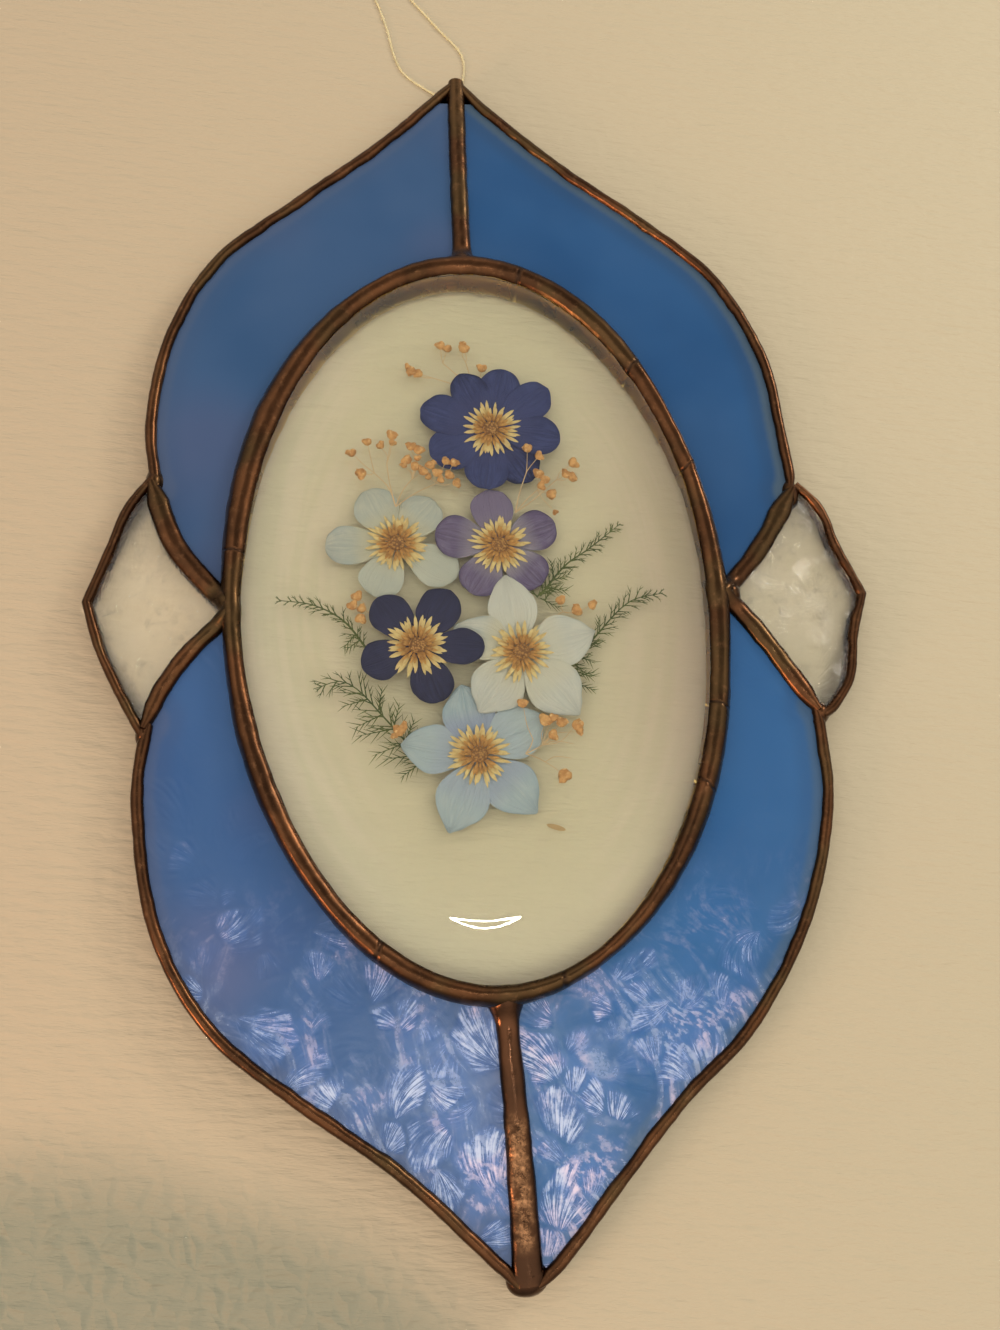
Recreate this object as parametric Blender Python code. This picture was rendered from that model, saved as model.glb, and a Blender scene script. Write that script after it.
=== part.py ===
# Pressed flower suncatcher: flowers sealed in a clear domed oval, set in blue and clear glass by soldered seams.
# It lies on its back. +Z leaves the front, +Y runs to the hanging tip, +X is the viewer's right.
# Every size below is in millimetres; new_object turns them into metres.
import math

import bmesh
import bpy
from mathutils import Vector
from mathutils.geometry import interpolate_bezier

METRES = 0.001
GAP = 0.3  # clearance between pieces that touch
ORIGIN = (0.8, -0.1, 0.0)  # the middle of the whole outline, which becomes the origin
CUTTER_LOW = -1
CUTTER_HIGH = 12
FAR = 75  # beyond every side

# Heights above the surface
BACK_BEAD = 0.9
GLASS_BACK = BACK_BEAD + GAP
GLASS_FRONT = GLASS_BACK + 3.0
OVAL_EDGE_FRONT = GLASS_BACK + 5.0
SEAM_FOOT = GLASS_FRONT + GAP
OVAL_FOOT = OVAL_EDGE_FRONT + GAP

# Seams
WEB = 0.8  # solder between two panes
SEAM_CROWN = 1.3
SHOULDER = 0.6  # where a bead bends down towards its foot, as a share of its half width
SHOULDER_RISE = 0.75
SEAM_STEPS = 5
RIM_WIDTH = 3.4
RIM_CROWN = 1.1
RIM_SHOULDER_DROP = 0.55
EDGE_WIDTH = 2.0
EDGE_WALL = 0.7
EDGE_CROWN = 0.8
EDGE_STEPS = 12
TOP_SEAM_WIDTH = 3.5
BOTTOM_SEAM_WIDTH = 3.4
BOTTOM_SEAM_TIP_WIDTH = 4.7
LEFT_SEAM_WIDTH = 3.2
RIGHT_SEAM_WIDTH = 2.8

# The oval: its rim's middle line
OVAL_CENTRE = (-0.9, 0.3)
RIM_HALF_WIDTH = 42.1
RIM_HALF_HEIGHT = 65.7
OVAL_STEPS = 40
DOME_RISE = 2.3
DOME_SHARES = (1.0, 0.92, 0.76, 0.42)  # sizes of the dome's rings, against its edge

# The hollow that the flowers lie in, and the plane that parts the oval through it
HOLLOW_CENTRE = (-1.5, 2.8)
HOLLOW_HALF_WIDTH = 36.2
HOLLOW_HALF_HEIGHT = 51.0
HOLLOW_FLOOR = 2.2
PARTING = 4.2
HOLLOW_CEILING = 5.8

# Outer outline, one smooth run between two corners, seen from the front
UPPER_LEFT_EDGE = [(-0.4, 109.2), (-3.3, 106.4), (-15.5, 94.3), (-32.8, 79.8), (-46.5, 67.7), (-54.7, 52.4),
                   (-58.0, 35.5), (-57.2, 24.0)]
UPPER_RIGHT_EDGE = [(0.2, 109.2), (6.4, 102.1), (19.6, 89.8), (36.4, 76.6), (48.3, 65.2), (56.3, 48.0),
                    (58.1, 31.7), (58.7, 22.8)]
LOWER_LEFT_EDGE = [(-58.1, -22.2), (-58.7, -34.0), (-55.5, -53.3), (-46.9, -68.8), (-34.1, -79.8), (-17.7, -91.6),
                   (-6.0, -102.2), (0.2, -109.4)]
LOWER_RIGHT_EDGE = [(58.3, -22.4), (57.8, -37.9), (51.7, -56.2), (40.2, -73.1), (28.4, -83.1), (16.9, -94.7),
                    (6.7, -105.9), (1.6, -109.4)]
LEFT_SIDE_UPPER = [(-57.4, 23.8), (-61.3, 18.4), (-64.0, 11.0), (-67.6, 1.3)]
LEFT_SIDE_LOWER = [(-67.6, 1.3), (-65.4, -6.6), (-61.9, -14.4), (-58.0, -21.9)]
RIGHT_SIDE_UPPER = [(59.0, 22.4), (63.2, 17.5), (65.6, 9.6), (69.2, 0.5)]
RIGHT_SIDE_LOWER = [(69.2, 0.5), (66.4, -7.6), (64.8, -15.0), (60.9, -20.7), (58.5, -22.2)]

# Inner seams' middle lines, from the outline in to the rim
TOP_SEAM = [(-0.2, 109.3), (-0.6, 90.0), (-0.8, 66.0)]
BOTTOM_SEAM = [(0.8, -109.4), (0.6, -88.0), (-0.3, -65.5)]
UPPER_LEFT_SEAM = [(-57.5, 24.6), (-52.5, 12.0), (-48.3, 5.6), (-43.0, -0.3)]
LOWER_LEFT_SEAM = [(-58.3, -22.9), (-54.4, -14.3), (-49.7, -7.5), (-43.0, -0.9)]
UPPER_RIGHT_SEAM = [(59.2, 23.2), (50.6, 10.0), (45.6, 4.3), (42.0, 0.8)]
LOWER_RIGHT_SEAM = [(58.8, -22.9), (50.6, -9.7), (45.6, -2.5), (42.0, 1.4)]
LEFT_JOINT_Y = -0.6  # height at which the two left seams meet at the rim
RIGHT_JOINT_Y = 1.1

# The hanging tip: the glass stops short of it, and its back is cut away for the line
GLASS_TOP_END = 103.3
TIP_NOTCH = ((-9.0, 103.6), (7.0, 111.0))
TIP_NOTCH_UNDER_EDGES = 1.1
TIP_NOTCH_UNDER_SEAM = 1.75
LOOP_WIRE = 0.6
LOOP_MIDDLE_Y = 105.6
LOOP_HALF_WIDTH = 1.3
LOOP_LOW = 0.35
LOOP_FEET = TIP_NOTCH_UNDER_SEAM - GAP
LINE_DIAMETER = 0.45
LINE_POINTS = 38
LINE_ROUTE = [(-0.35, 105.8, 1.15), (-1.3, 106.5, 1.0), (-2.7, 107.6, 0.6), (-4.3, 108.8, 0.35), (-6.2, 110.2, 0.25),
              (-8.9, 112.3, 0.24), (-10.8, 114.6, 0.24), (-12.1, 118.9, 0.24), (-13.1, 124.2, 0.24),
              (-14.5, 129.3, 0.24), (-16.4, 135.0, 0.24), (-19.0, 142.0, 0.24), (-21.4, 150.0, 0.24),
              (-22.0, 158.0, 0.24), (-20.2, 165.0, 0.24), (-16.2, 168.2, 0.24), (-12.6, 165.0, 0.24),
              (-11.4, 158.0, 0.24), (-11.7, 150.0, 0.24), (-11.6, 142.5, 0.24), (-10.4, 136.2, 0.24),
              (-7.9, 131.8, 0.24), (-5.3, 128.4, 0.24), (-2.8, 124.9, 0.24), (-0.3, 121.9, 0.24),
              (1.7, 118.9, 0.24), (2.2, 115.6, 0.24), (1.7, 112.2, 0.26), (1.2, 109.6, 0.45), (0.8, 107.6, 0.9),
              (0.35, 106.1, 1.14)]

# Specimens lie in layers inside the hollow
LAYER_FLOOR = HOLLOW_FLOOR + GAP
LAYER_STEP = 0.55
PETAL_THICKNESS = 0.25
CENTRE_HEIGHT = 0.8
CENTRE_RADIUS = 5.7
BUD_HEIGHT = 0.8
BUD_SIDES = 5
KNOT_WIDTH = 1.4  # where a spray's stems gather
STEM_WIDTH = 0.5
STEM_HEIGHT = 0.33
STEM_FOOT = 0.12  # the first stem's height above its layer, and each next one's rise above it
STEM_STEP = 0.023
FERN_THICKNESS = 0.3

# Each blossom: middle, layer, petals as (direction in degrees, length, width), and colour
BLOSSOMS = {
    "dark_blue": ((2.6, 32.4), 2, [(109, 12.0, 7.0), (76, 12.6, 8.0), (39, 13.6, 7.5), (-9, 12.6, 8.2),
                                   (-59, 12.4, 8.0), (-96, 11.8, 8.5), (206, 12.4, 8.0), (159, 12.9, 8.0)],
                  (0.035, 0.045, 0.13)),
    "purple": ((3.0, 10.3), 1, [(98, 10.7, 8.0), (22, 10.9, 8.5), (-46, 10.3, 8.0), (238, 10.4, 8.5),
                                (167, 11.6, 8.5)], (0.12, 0.10, 0.25)),
    "white_left": ((-14.9, 11.0), 0, [(181, 12.3, 7.5), (117, 11.2, 8.0), (50, 10.6, 8.0), (-32, 12.1, 8.0),
                                      (247, 10.5, 8.5)], (0.62, 0.68, 0.60)),
    "navy": ((-12.1, -7.9), 3, [(127, 10.9, 8.0), (58, 11.5, 8.2), (-2, 11.6, 7.0), (-70, 10.5, 8.0),
                                (201, 10.0, 7.5)], (0.02, 0.02, 0.06)),
    "white_right": ((5.6, -9.3), 2, [(97, 13.6, 8.5), (17, 13.1, 9.0), (-51, 13.8, 10.0), (229, 11.8, 9.5),
                                     (155, 11.0, 8.0)], (0.66, 0.70, 0.64)),
    "pale_blue": ((-2.5, -26.8), 1, [(170, 12.9, 8.0), (100, 11.0, 9.0), (30, 12.5, 9.0), (-47, 13.3, 8.5),
                                     (247, 13.1, 9.0)], (0.45, 0.60, 0.68)),
}
PETAL_BASE = 4.4
PETAL_RAYS = 38
FLORETS = 11

# Feathery sprigs: the stem's route from tip to foot, and the needles' length
FERNS = {
    "fern_left_upper": ([(-35.0, 1.1), (-29.3, 0.1), (-24.3, -2.8), (-20.6, -7.7)], 2.2),
    "fern_left_lower": ([(-29.5, -14.6), (-24.2, -13.6), (-17.9, -19.9), (-10.7, -29.0)], 3.6),
    "fern_right_upper": ([(24.9, 14.4), (18.6, 9.5), (14.4, 6.6), (9.6, 1.0)], 2.4),
    "fern_right_lower": ([(31.4, 1.3), (25.3, -0.3), (18.9, -6.4), (13.2, -12.9)], 2.6),
}
NEEDLE_STEP = 2.5
FERN_STEM = 0.5

# Sprays of buds: layer, where the stems gather, and the buds as (x, y, width)
SPRAYS = {
    "bud_spray_top": (0, (0.5, 39.5), [(-11.0, 44.3, 2.6), (-5.0, 49.3, 3.0), (-1.6, 48.9, 2.4), (1.5, 44.8, 2.2)]),
    "bud_spray_left": (3, (-14.9, 17.4), [(-22.5, 27.7, 1.9), (-19.6, 30.0, 1.9), (-15.0, 30.4, 2.4),
                                          (-20.8, 23.9, 2.2), (-11.4, 28.8, 2.8), (-11.9, 25.2, 3.0),
                                          (-7.7, 24.2, 3.2), (-4.9, 26.0, 2.4), (-4.0, 22.2, 2.6)]),
    "bud_spray_right": (3, (6.0, 16.1), [(8.8, 28.6, 1.9), (16.8, 25.5, 2.0), (15.9, 23.0, 2.6), (10.9, 23.0, 2.4),
                                         (12.4, 19.5, 2.4), (13.0, 16.0, 1.6)]),
    "bud_spray_middle": (1, (-18.2, -2.6), [(-21.5, 1.4, 2.4), (-22.6, -0.6, 2.4), (-21.1, -2.4, 2.2)]),
    "bud_spray_right_middle": (0, (12.4, -2.6), [(13.2, 0.2, 1.9), (15.9, -2.0, 2.2), (18.7, -0.7, 1.8)]),
    "bud_spray_lower_right": (3, (5.2, -27.0), [(5.2, -18.4, 2.0), (8.9, -21.5, 2.6), (11.6, -21.8, 2.4),
                                                (10.0, -24.2, 2.0), (14.3, -22.6, 2.4), (11.5, -30.8, 2.8)]),
    "bud_lower_left": (2, (-16.9, -23.4), [(-15.4, -22.0, 2.6)]),
}
BRACT = (0, (9.7, -39.2), 3.2, 0.9)  # layer, middle, length and width of the loose bract
BRACT_TILT = 0.15


def clear_scene():
    for obj in list(bpy.data.objects):
        bpy.data.objects.remove(obj, do_unlink=True)


def finish(name, colour, roughness, metallic=0.0, transmission=0.0):
    mat = bpy.data.materials.new(name)
    mat.use_nodes = True
    shader = mat.node_tree.nodes["Principled BSDF"]
    shader.inputs["Base Color"].default_value = (*colour, 1.0)
    shader.inputs["Roughness"].default_value = roughness
    shader.inputs["Metallic"].default_value = metallic
    shader.inputs["Transmission Weight"].default_value = transmission
    return mat


def in_metres(place):
    return (Vector(place) - Vector(ORIGIN)) * METRES


def new_object(name, points, faces, mat):
    """One object whose faces all point out."""
    mesh = bpy.data.meshes.new(name)
    mesh.from_pydata([in_metres(p) for p in points], [], faces)
    bm = bmesh.new()
    bm.from_mesh(mesh)
    bmesh.ops.recalc_face_normals(bm, faces=bm.faces)
    bm.to_mesh(mesh)
    bm.free()
    mesh.materials.append(mat)
    obj = bpy.data.objects.new(name, mesh)
    bpy.context.collection.objects.link(obj)
    return obj


def cutter(obj):
    obj.hide_render = True
    obj.display_type = "WIRE"
    return obj


def combine(obj, other, operation="DIFFERENCE"):
    mod = obj.modifiers.new(operation.lower(), "BOOLEAN")
    mod.operation = operation
    mod.object = other


def smooth_through(route, steps):
    """A smooth curve through the route's points, cut into equal steps."""
    points = [Vector(p).to_3d() for p in route]
    last = len(points) - 1
    slopes = [(points[min(i + 1, last)] - points[max(i - 1, 0)]).normalized() for i in range(last + 1)]
    fine = []
    for p, q, leaving, arriving in zip(points, points[1:], slopes, slopes[1:]):
        reach = (q - p).length / 3
        fine += interpolate_bezier(p, p + leaving * reach, q - arriving * reach, q, 13)[:-1]
    fine.append(points[-1])
    lengths = [0.0]
    for p, q in zip(fine, fine[1:]):
        lengths.append(lengths[-1] + (q - p).length)
    even = []
    at = 0
    for i in range(steps + 1):
        want = lengths[-1] * i / steps
        while at < len(fine) - 2 and lengths[at + 1] < want:
            at += 1
        share = (want - lengths[at]) / (lengths[at + 1] - lengths[at])
        even.append(fine[at].lerp(fine[at + 1], min(1.0, share)))
    return even


def left_normals(path, closed):
    """At each point, the unit vector to the left of the way along the path, lengthened at a corner."""
    count = len(path)
    normals = []
    for i, point in enumerate(path):
        before = path[i - 1] if closed or i else point
        after = path[(i + 1) % count] if closed or i < count - 1 else point
        arriving = (point - before).normalized() if (point - before).length else (after - point).normalized()
        leaving = (after - point).normalized() if (after - point).length else arriving
        mean = (arriving + leaving).normalized()
        normals.append(Vector((-mean.y, mean.x, 0)) / max(0.3, mean.dot(arriving)))
    return normals


def sweep(name, path, profile, mat, closed=False, spread=0.0):
    """Carries a profile of (across, up) along a flat path. Spread widens it towards the path's start."""
    points = []
    sides = left_normals(path, closed)
    for i, (point, side) in enumerate(zip(path, sides)):
        wide = 1.0 + spread * (1.0 - i / (len(path) - 1))
        points += [(*(point + side * across * wide).xy, up) for across, up in profile]
    n = len(profile)
    faces = []
    for i in range(len(path) if closed else len(path) - 1):
        a = i * n
        b = (i + 1) % len(path) * n
        faces += [(a + j, b + j, b + (j + 1) % n, a + (j + 1) % n) for j in range(n)]
    if not closed:
        faces.append(tuple(range(n)))
        faces.append(tuple(range(len(points) - n, len(points))))
    return new_object(name, points, faces, mat)


def seam_profile(width, web=WEB, crown=SEAM_CROWN):
    """An H: a rounded bead over both panes, a web between them, and a bead behind with a flat land."""
    half = width / 2
    return [(half, SEAM_FOOT), (SHOULDER * half, SEAM_FOOT + SHOULDER_RISE * crown), (0, SEAM_FOOT + crown),
            (-SHOULDER * half, SEAM_FOOT + SHOULDER_RISE * crown), (-half, SEAM_FOOT), (-web / 2, SEAM_FOOT),
            (-web / 2, BACK_BEAD), (-half, BACK_BEAD), (-SHOULDER * half, 0), (SHOULDER * half, 0),
            (half, BACK_BEAD), (web / 2, BACK_BEAD), (web / 2, SEAM_FOOT)]


def rim_profile():
    """The seam's H, its inner foot raised onto the thicker oval. Left of the path is inwards."""
    half = RIM_WIDTH / 2
    crown = OVAL_FOOT + RIM_CROWN
    return [(half, OVAL_FOOT), (SHOULDER * half, OVAL_FOOT + SHOULDER_RISE * RIM_CROWN), (0, crown),
            (-SHOULDER * half, crown - RIM_SHOULDER_DROP), (-half, SEAM_FOOT), (-WEB / 2, SEAM_FOOT),
            (-WEB / 2, BACK_BEAD), (-half, BACK_BEAD), (-SHOULDER * half, 0), (SHOULDER * half, 0),
            (half, BACK_BEAD), (WEB / 2, BACK_BEAD), (WEB / 2, OVAL_FOOT)]


def edge_profile(inward):
    """A channel over a pane's outer edge. inward is 1 with the glass left of the path, and -1 right of it."""
    top = SEAM_FOOT + EDGE_CROWN
    shape = [(0, BACK_BEAD + 0.4), (0, GLASS_FRONT), (0.3, top - 0.25), (0.9, top), (1.6, top - 0.3),
             (EDGE_WIDTH, SEAM_FOOT), (EDGE_WALL, SEAM_FOOT), (EDGE_WALL, BACK_BEAD), (EDGE_WIDTH, BACK_BEAD),
             (0.75 * EDGE_WIDTH, 0), (0.25 * EDGE_WIDTH, 0)]
    return [(inward * across, up) for across, up in shape]


def prism(name, path, half_width, low, high):
    square = [(half_width, low), (half_width, high), (-half_width, high), (-half_width, low)]
    return cutter(sweep(name, path, square, None))


def box(name, corners, low, high):
    (x0, y0), (x1, y1) = corners
    return cutter(plate(name, [(x0, y0), (x1, y0), (x1, y1), (x0, y1)], low, high, None))


def plate(name, outline, low, high, mat):
    """A flat sheet with the given outline."""
    n = len(outline)
    points = [(x, y, low) for x, y in outline] + [(x, y, high) for x, y in outline]
    faces = [tuple(range(n)), tuple(range(n, 2 * n))]
    faces += [(i, (i + 1) % n, n + (i + 1) % n, n + i) for i in range(n)]
    return new_object(name, points, faces, mat)


def ellipse(half_width, half_height, centre=OVAL_CENTRE):
    angles = [2 * math.pi * i / OVAL_STEPS for i in range(OVAL_STEPS)]
    return [(centre[0] + half_width * math.cos(a), centre[1] + half_height * math.sin(a)) for a in angles]


def stack(name, loops, mat):
    """Joins loops of equally many points, each with its own height, and closes both ends."""
    n = len(loops[0][0])
    points = [(x, y, up) for loop, up in loops for x, y in loop]
    faces = [(k * n + i, k * n + (i + 1) % n, (k + 1) * n + (i + 1) % n, (k + 1) * n + i)
             for k in range(len(loops) - 1) for i in range(n)]
    faces.append(tuple(range(n)))
    faces.append(tuple(range(len(points) - n, len(points))))
    return new_object(name, points, faces, mat)


# Frame

def make_rim(mat):
    path = [Vector(p).to_3d() for p in ellipse(RIM_HALF_WIDTH, RIM_HALF_HEIGHT)]
    sweep("oval_rim", path, rim_profile(), mat, closed=True)


def make_seams(mat):
    """Six seams that run out from the rim. Each stops short of the rim and of the seam beside it."""
    reach = RIM_WIDTH / 2 + GAP
    around = ellipse(RIM_HALF_WIDTH + reach, RIM_HALF_HEIGHT + reach)
    rim_clear = cutter(plate("rim_clear", around, CUTTER_LOW, CUTTER_HIGH, None))
    seams = {
        "top_seam": (TOP_SEAM, TOP_SEAM_WIDTH, 0.0),
        "bottom_seam": (BOTTOM_SEAM, BOTTOM_SEAM_WIDTH, BOTTOM_SEAM_TIP_WIDTH / BOTTOM_SEAM_WIDTH - 1),
        "lozenge_seam_upper_left": (UPPER_LEFT_SEAM, LEFT_SEAM_WIDTH, 0.0),
        "lozenge_seam_lower_left": (LOWER_LEFT_SEAM, LEFT_SEAM_WIDTH, 0.0),
        "lozenge_seam_upper_right": (UPPER_RIGHT_SEAM, RIGHT_SEAM_WIDTH, 0.0),
        "lozenge_seam_lower_right": (LOWER_RIGHT_SEAM, RIGHT_SEAM_WIDTH, 0.0),
    }
    made = {}
    for name, (route, width, spread) in seams.items():
        path = smooth_through(route, SEAM_STEPS)
        made[name] = sweep(name, path, seam_profile(width), mat, spread=spread)
        combine(made[name], rim_clear)
    for side, joint in (("left", LEFT_JOINT_Y), ("right", RIGHT_JOINT_Y)):
        below = box(f"below_{side}_joint", ((-FAR, -FAR), (FAR, joint + GAP / 2)), CUTTER_LOW, CUTTER_HIGH)
        above = box(f"above_{side}_joint", ((-FAR, joint - GAP / 2), (FAR, FAR)), CUTTER_LOW, CUTTER_HIGH)
        combine(made[f"lozenge_seam_upper_{side}"], below)
        combine(made[f"lozenge_seam_lower_{side}"], above)
    combine(made["top_seam"], box("notch_under_seam", TIP_NOTCH, CUTTER_LOW, TIP_NOTCH_UNDER_SEAM))


def make_edges(mat):
    """The outer edges. Each is cut back from the seams that end between them."""
    clear = {}
    for name, route, half in (("top", TOP_SEAM, TOP_SEAM_WIDTH / 2),
                              ("bottom", BOTTOM_SEAM, BOTTOM_SEAM_TIP_WIDTH / 2),
                              ("upper_left", UPPER_LEFT_SEAM, LEFT_SEAM_WIDTH / 2),
                              ("lower_left", LOWER_LEFT_SEAM, LEFT_SEAM_WIDTH / 2),
                              ("upper_right", UPPER_RIGHT_SEAM, RIGHT_SEAM_WIDTH / 2),
                              ("lower_right", LOWER_RIGHT_SEAM, RIGHT_SEAM_WIDTH / 2)):
        path = smooth_through(route, SEAM_STEPS)
        path.insert(0, path[0] + (path[0] - path[1]).normalized() * 6)
        clear[name] = prism(f"{name}_clear", path, half + GAP, CUTTER_LOW, CUTTER_HIGH)
    notch = box("notch_under_edges", TIP_NOTCH, CUTTER_LOW, TIP_NOTCH_UNDER_EDGES)
    edges = {
        "edge_upper_left": (smooth_through(UPPER_LEFT_EDGE, EDGE_STEPS), 1, ("top", "upper_left")),
        "edge_upper_right": (smooth_through(UPPER_RIGHT_EDGE, EDGE_STEPS), -1, ("top", "upper_right")),
        "edge_lower_left": (smooth_through(LOWER_LEFT_EDGE, EDGE_STEPS), 1, ("bottom", "lower_left")),
        "edge_lower_right": (smooth_through(LOWER_RIGHT_EDGE, EDGE_STEPS), -1, ("bottom", "lower_right")),
        "edge_side_left": (two_runs(LEFT_SIDE_UPPER, LEFT_SIDE_LOWER), 1, ("upper_left", "lower_left")),
        "edge_side_right": (two_runs(RIGHT_SIDE_UPPER, RIGHT_SIDE_LOWER), -1, ("upper_right", "lower_right")),
    }
    for name, (path, inward, cuts) in edges.items():
        obj = sweep(name, path, edge_profile(inward), mat)
        for end in cuts:
            combine(obj, clear[end])
        if "top" in cuts:
            combine(obj, notch)


def two_runs(first, second):
    """Two smooth runs that meet at a corner."""
    return smooth_through(first, 5) + smooth_through(second, 5)[1:]


def make_loop(mat):
    """A small wire staple behind the tip, which the hanging line passes through."""
    turn = [(0, LOOP_MIDDLE_Y - LOOP_HALF_WIDTH, LOOP_FEET)]
    for i in range(6):
        a = math.pi + math.pi * i / 5
        turn.append((0, LOOP_MIDDLE_Y + LOOP_HALF_WIDTH * math.cos(a), LOOP_FEET - 0.2
                     + (LOOP_FEET - 0.2 - LOOP_LOW) * math.sin(a)))
    turn.append((0, LOOP_MIDDLE_Y + LOOP_HALF_WIDTH, LOOP_FEET))
    tube("hanging_loop", turn, LOOP_WIRE, mat, 1)


def tube(name, route, diameter, mat, resolution):
    curve = bpy.data.curves.new(name, "CURVE")
    curve.dimensions = "3D"
    curve.bevel_depth = diameter / 2 * METRES
    curve.bevel_resolution = resolution
    curve.use_fill_caps = True
    spline = curve.splines.new("POLY")
    spline.points.add(len(route) - 1)
    for point, place in zip(spline.points, route):
        point.co = (*in_metres(place), 1)
    curve.materials.append(mat)
    obj = bpy.data.objects.new(name, curve)
    bpy.context.collection.objects.link(obj)
    return obj


def make_line(mat):
    tube("hanging_line", smooth_through(LINE_ROUTE, LINE_POINTS - 1), LINE_DIAMETER, mat, 2)


# Glass

def outer_outline():
    """The whole outline, anticlockwise from the hanging tip. Each run ends where the next one starts."""
    runs = [smooth_through(UPPER_LEFT_EDGE, EDGE_STEPS), two_runs(LEFT_SIDE_UPPER, LEFT_SIDE_LOWER),
            smooth_through(LOWER_LEFT_EDGE, EDGE_STEPS), smooth_through(LOWER_RIGHT_EDGE, EDGE_STEPS)[::-1],
            two_runs(RIGHT_SIDE_UPPER, RIGHT_SIDE_LOWER)[::-1], smooth_through(UPPER_RIGHT_EDGE, EDGE_STEPS)[::-1]]
    return [point for run in runs for point in run[:-1]]


def make_side_glass(blue, clear):
    """One sheet cut along the seams: four blue lobes and two clear lozenges."""
    outline = outer_outline()
    sides = left_normals(outline, True)
    inset = EDGE_WALL + GAP
    inner = [tuple((point + side * inset).xy) for point, side in zip(outline, sides)]
    sheet = plate("sheet", inner, GLASS_BACK, GLASS_FRONT, None)
    reach = WEB / 2 + GAP
    hole = ellipse(RIM_HALF_WIDTH + reach, RIM_HALF_HEIGHT + reach)
    combine(sheet, cutter(plate("oval_hole", hole, CUTTER_LOW, CUTTER_HIGH, None)))
    routes = {"top": TOP_SEAM, "bottom": BOTTOM_SEAM, "upper_left": UPPER_LEFT_SEAM, "lower_left": LOWER_LEFT_SEAM,
              "upper_right": UPPER_RIGHT_SEAM, "lower_right": LOWER_RIGHT_SEAM}
    for name, route in routes.items():
        path = smooth_through(route, SEAM_STEPS)
        path.insert(0, path[0] + (path[0] - path[1]).normalized() * 6)
        path.append(path[-1] + (path[-1] - path[-2]).normalized() * 4)
        combine(sheet, prism(f"{name}_web", path, reach, CUTTER_LOW, CUTTER_HIGH))
    combine(sheet, box("tip_end", ((-FAR, GLASS_TOP_END), (FAR, 2 * FAR)), CUTTER_LOW, CUTTER_HIGH))
    bm = bmesh.new()
    bpy.context.view_layer.update()
    bm.from_object(sheet, bpy.context.evaluated_depsgraph_get())
    bpy.data.objects.remove(sheet, do_unlink=True)
    while bm.verts:
        split_pane(bm, blue, clear)
    bm.free()


def split_pane(bm, blue, clear):
    """Takes one loose pane out of the cut sheet and names it by where it lies."""
    bm.verts.ensure_lookup_table()
    found = {bm.verts[0]}
    front = [bm.verts[0]]
    while front:
        corner = front.pop()
        for edge in corner.link_edges:
            other = edge.other_vert(corner)
            if other not in found:
                found.add(other)
                front.append(other)
    order = {vert: i for i, vert in enumerate(found)}
    faces = {face for vert in found for face in vert.link_faces}
    points = [vert.co / METRES + Vector(ORIGIN) for vert in order]
    middle = sum(points, Vector()) / len(points)
    side = "left" if middle.x < 0 else "right"
    level = "upper" if middle.y > 0 else "lower"
    lozenge = abs(middle.x) > RIM_HALF_WIDTH + 10 and abs(middle.y) < 15
    name = f"clear_lozenge_{side}" if lozenge else f"blue_glass_{level}_{side}"
    corners = [tuple(order[vert] for vert in face.verts) for face in faces]
    new_object(name, points, corners, clear if lozenge else blue)
    bmesh.ops.delete(bm, geom=list(found), context="VERTS")


def make_oval(mat):
    """The clear oval in two halves, with the flowers' hollow between them."""
    half_width = RIM_HALF_WIDTH - WEB / 2 - GAP
    half_height = RIM_HALF_HEIGHT - WEB / 2 - GAP
    whole = ellipse(half_width, half_height)
    hollow = ellipse(HOLLOW_HALF_WIDTH, HOLLOW_HALF_HEIGHT, HOLLOW_CENTRE)
    stack("clear_oval_back", [(whole, GLASS_BACK), (whole, PARTING), (hollow, PARTING), (hollow, HOLLOW_FLOOR)], mat)
    under_bead = RIM_WIDTH / 2 - WEB / 2 + GAP
    loops = [(hollow, HOLLOW_CEILING), (hollow, PARTING + GAP), (whole, PARTING + GAP), (whole, OVAL_EDGE_FRONT)]
    for share in DOME_SHARES:
        loops.append((ellipse((half_width - under_bead) * share, (half_height - under_bead) * share),
                      OVAL_EDGE_FRONT + DOME_RISE * dome_height(share)))
    stack("clear_oval_front", loops, mat)


def dome_height(share):
    """How far the dome has risen, from 0 at its edge to 1 in the middle."""
    return (1 - share ** 2.4) ** 0.8


# Specimens

def layer_height(layer):
    return LAYER_FLOOR + LAYER_STEP * layer


def petal_reach(angle, petals):
    """How far the whorl reaches in one direction: the furthest petal's rounded tip there, or the base."""
    best = PETAL_BASE
    for direction, length, width in petals:
        turn = (math.radians(direction) - angle + math.pi) % (2 * math.pi) - math.pi
        if abs(turn) > math.pi / 2:
            continue
        middle, along, across = 0.6 * length, 0.4 * length, width / 2
        c, s = math.cos(turn), math.sin(turn)
        a = (c / along) ** 2 + (s / across) ** 2
        b = -2 * middle * c / along ** 2
        inside = b * b - 4 * a * ((middle / along) ** 2 - 1)
        if inside > 0:
            best = max(best, (-b + math.sqrt(inside)) / (2 * a))
    return best


def make_blossoms(centre_mat):
    for name, ((x, y), layer, petals, colour) in BLOSSOMS.items():
        low = layer_height(layer)
        angles = [2 * math.pi * i / PETAL_RAYS for i in range(PETAL_RAYS)]
        reaches = [petal_reach(a, petals) for a in angles]
        outline = [(x + r * math.cos(a), y + r * math.sin(a)) for a, r in zip(angles, reaches)]
        plate(f"{name}_petals", outline, low, low + PETAL_THICKNESS, finish(f"{name} petal", colour, 0.7))
        make_centre(f"{name}_centre", x, y, low + PETAL_THICKNESS + GAP, centre_mat)


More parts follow.
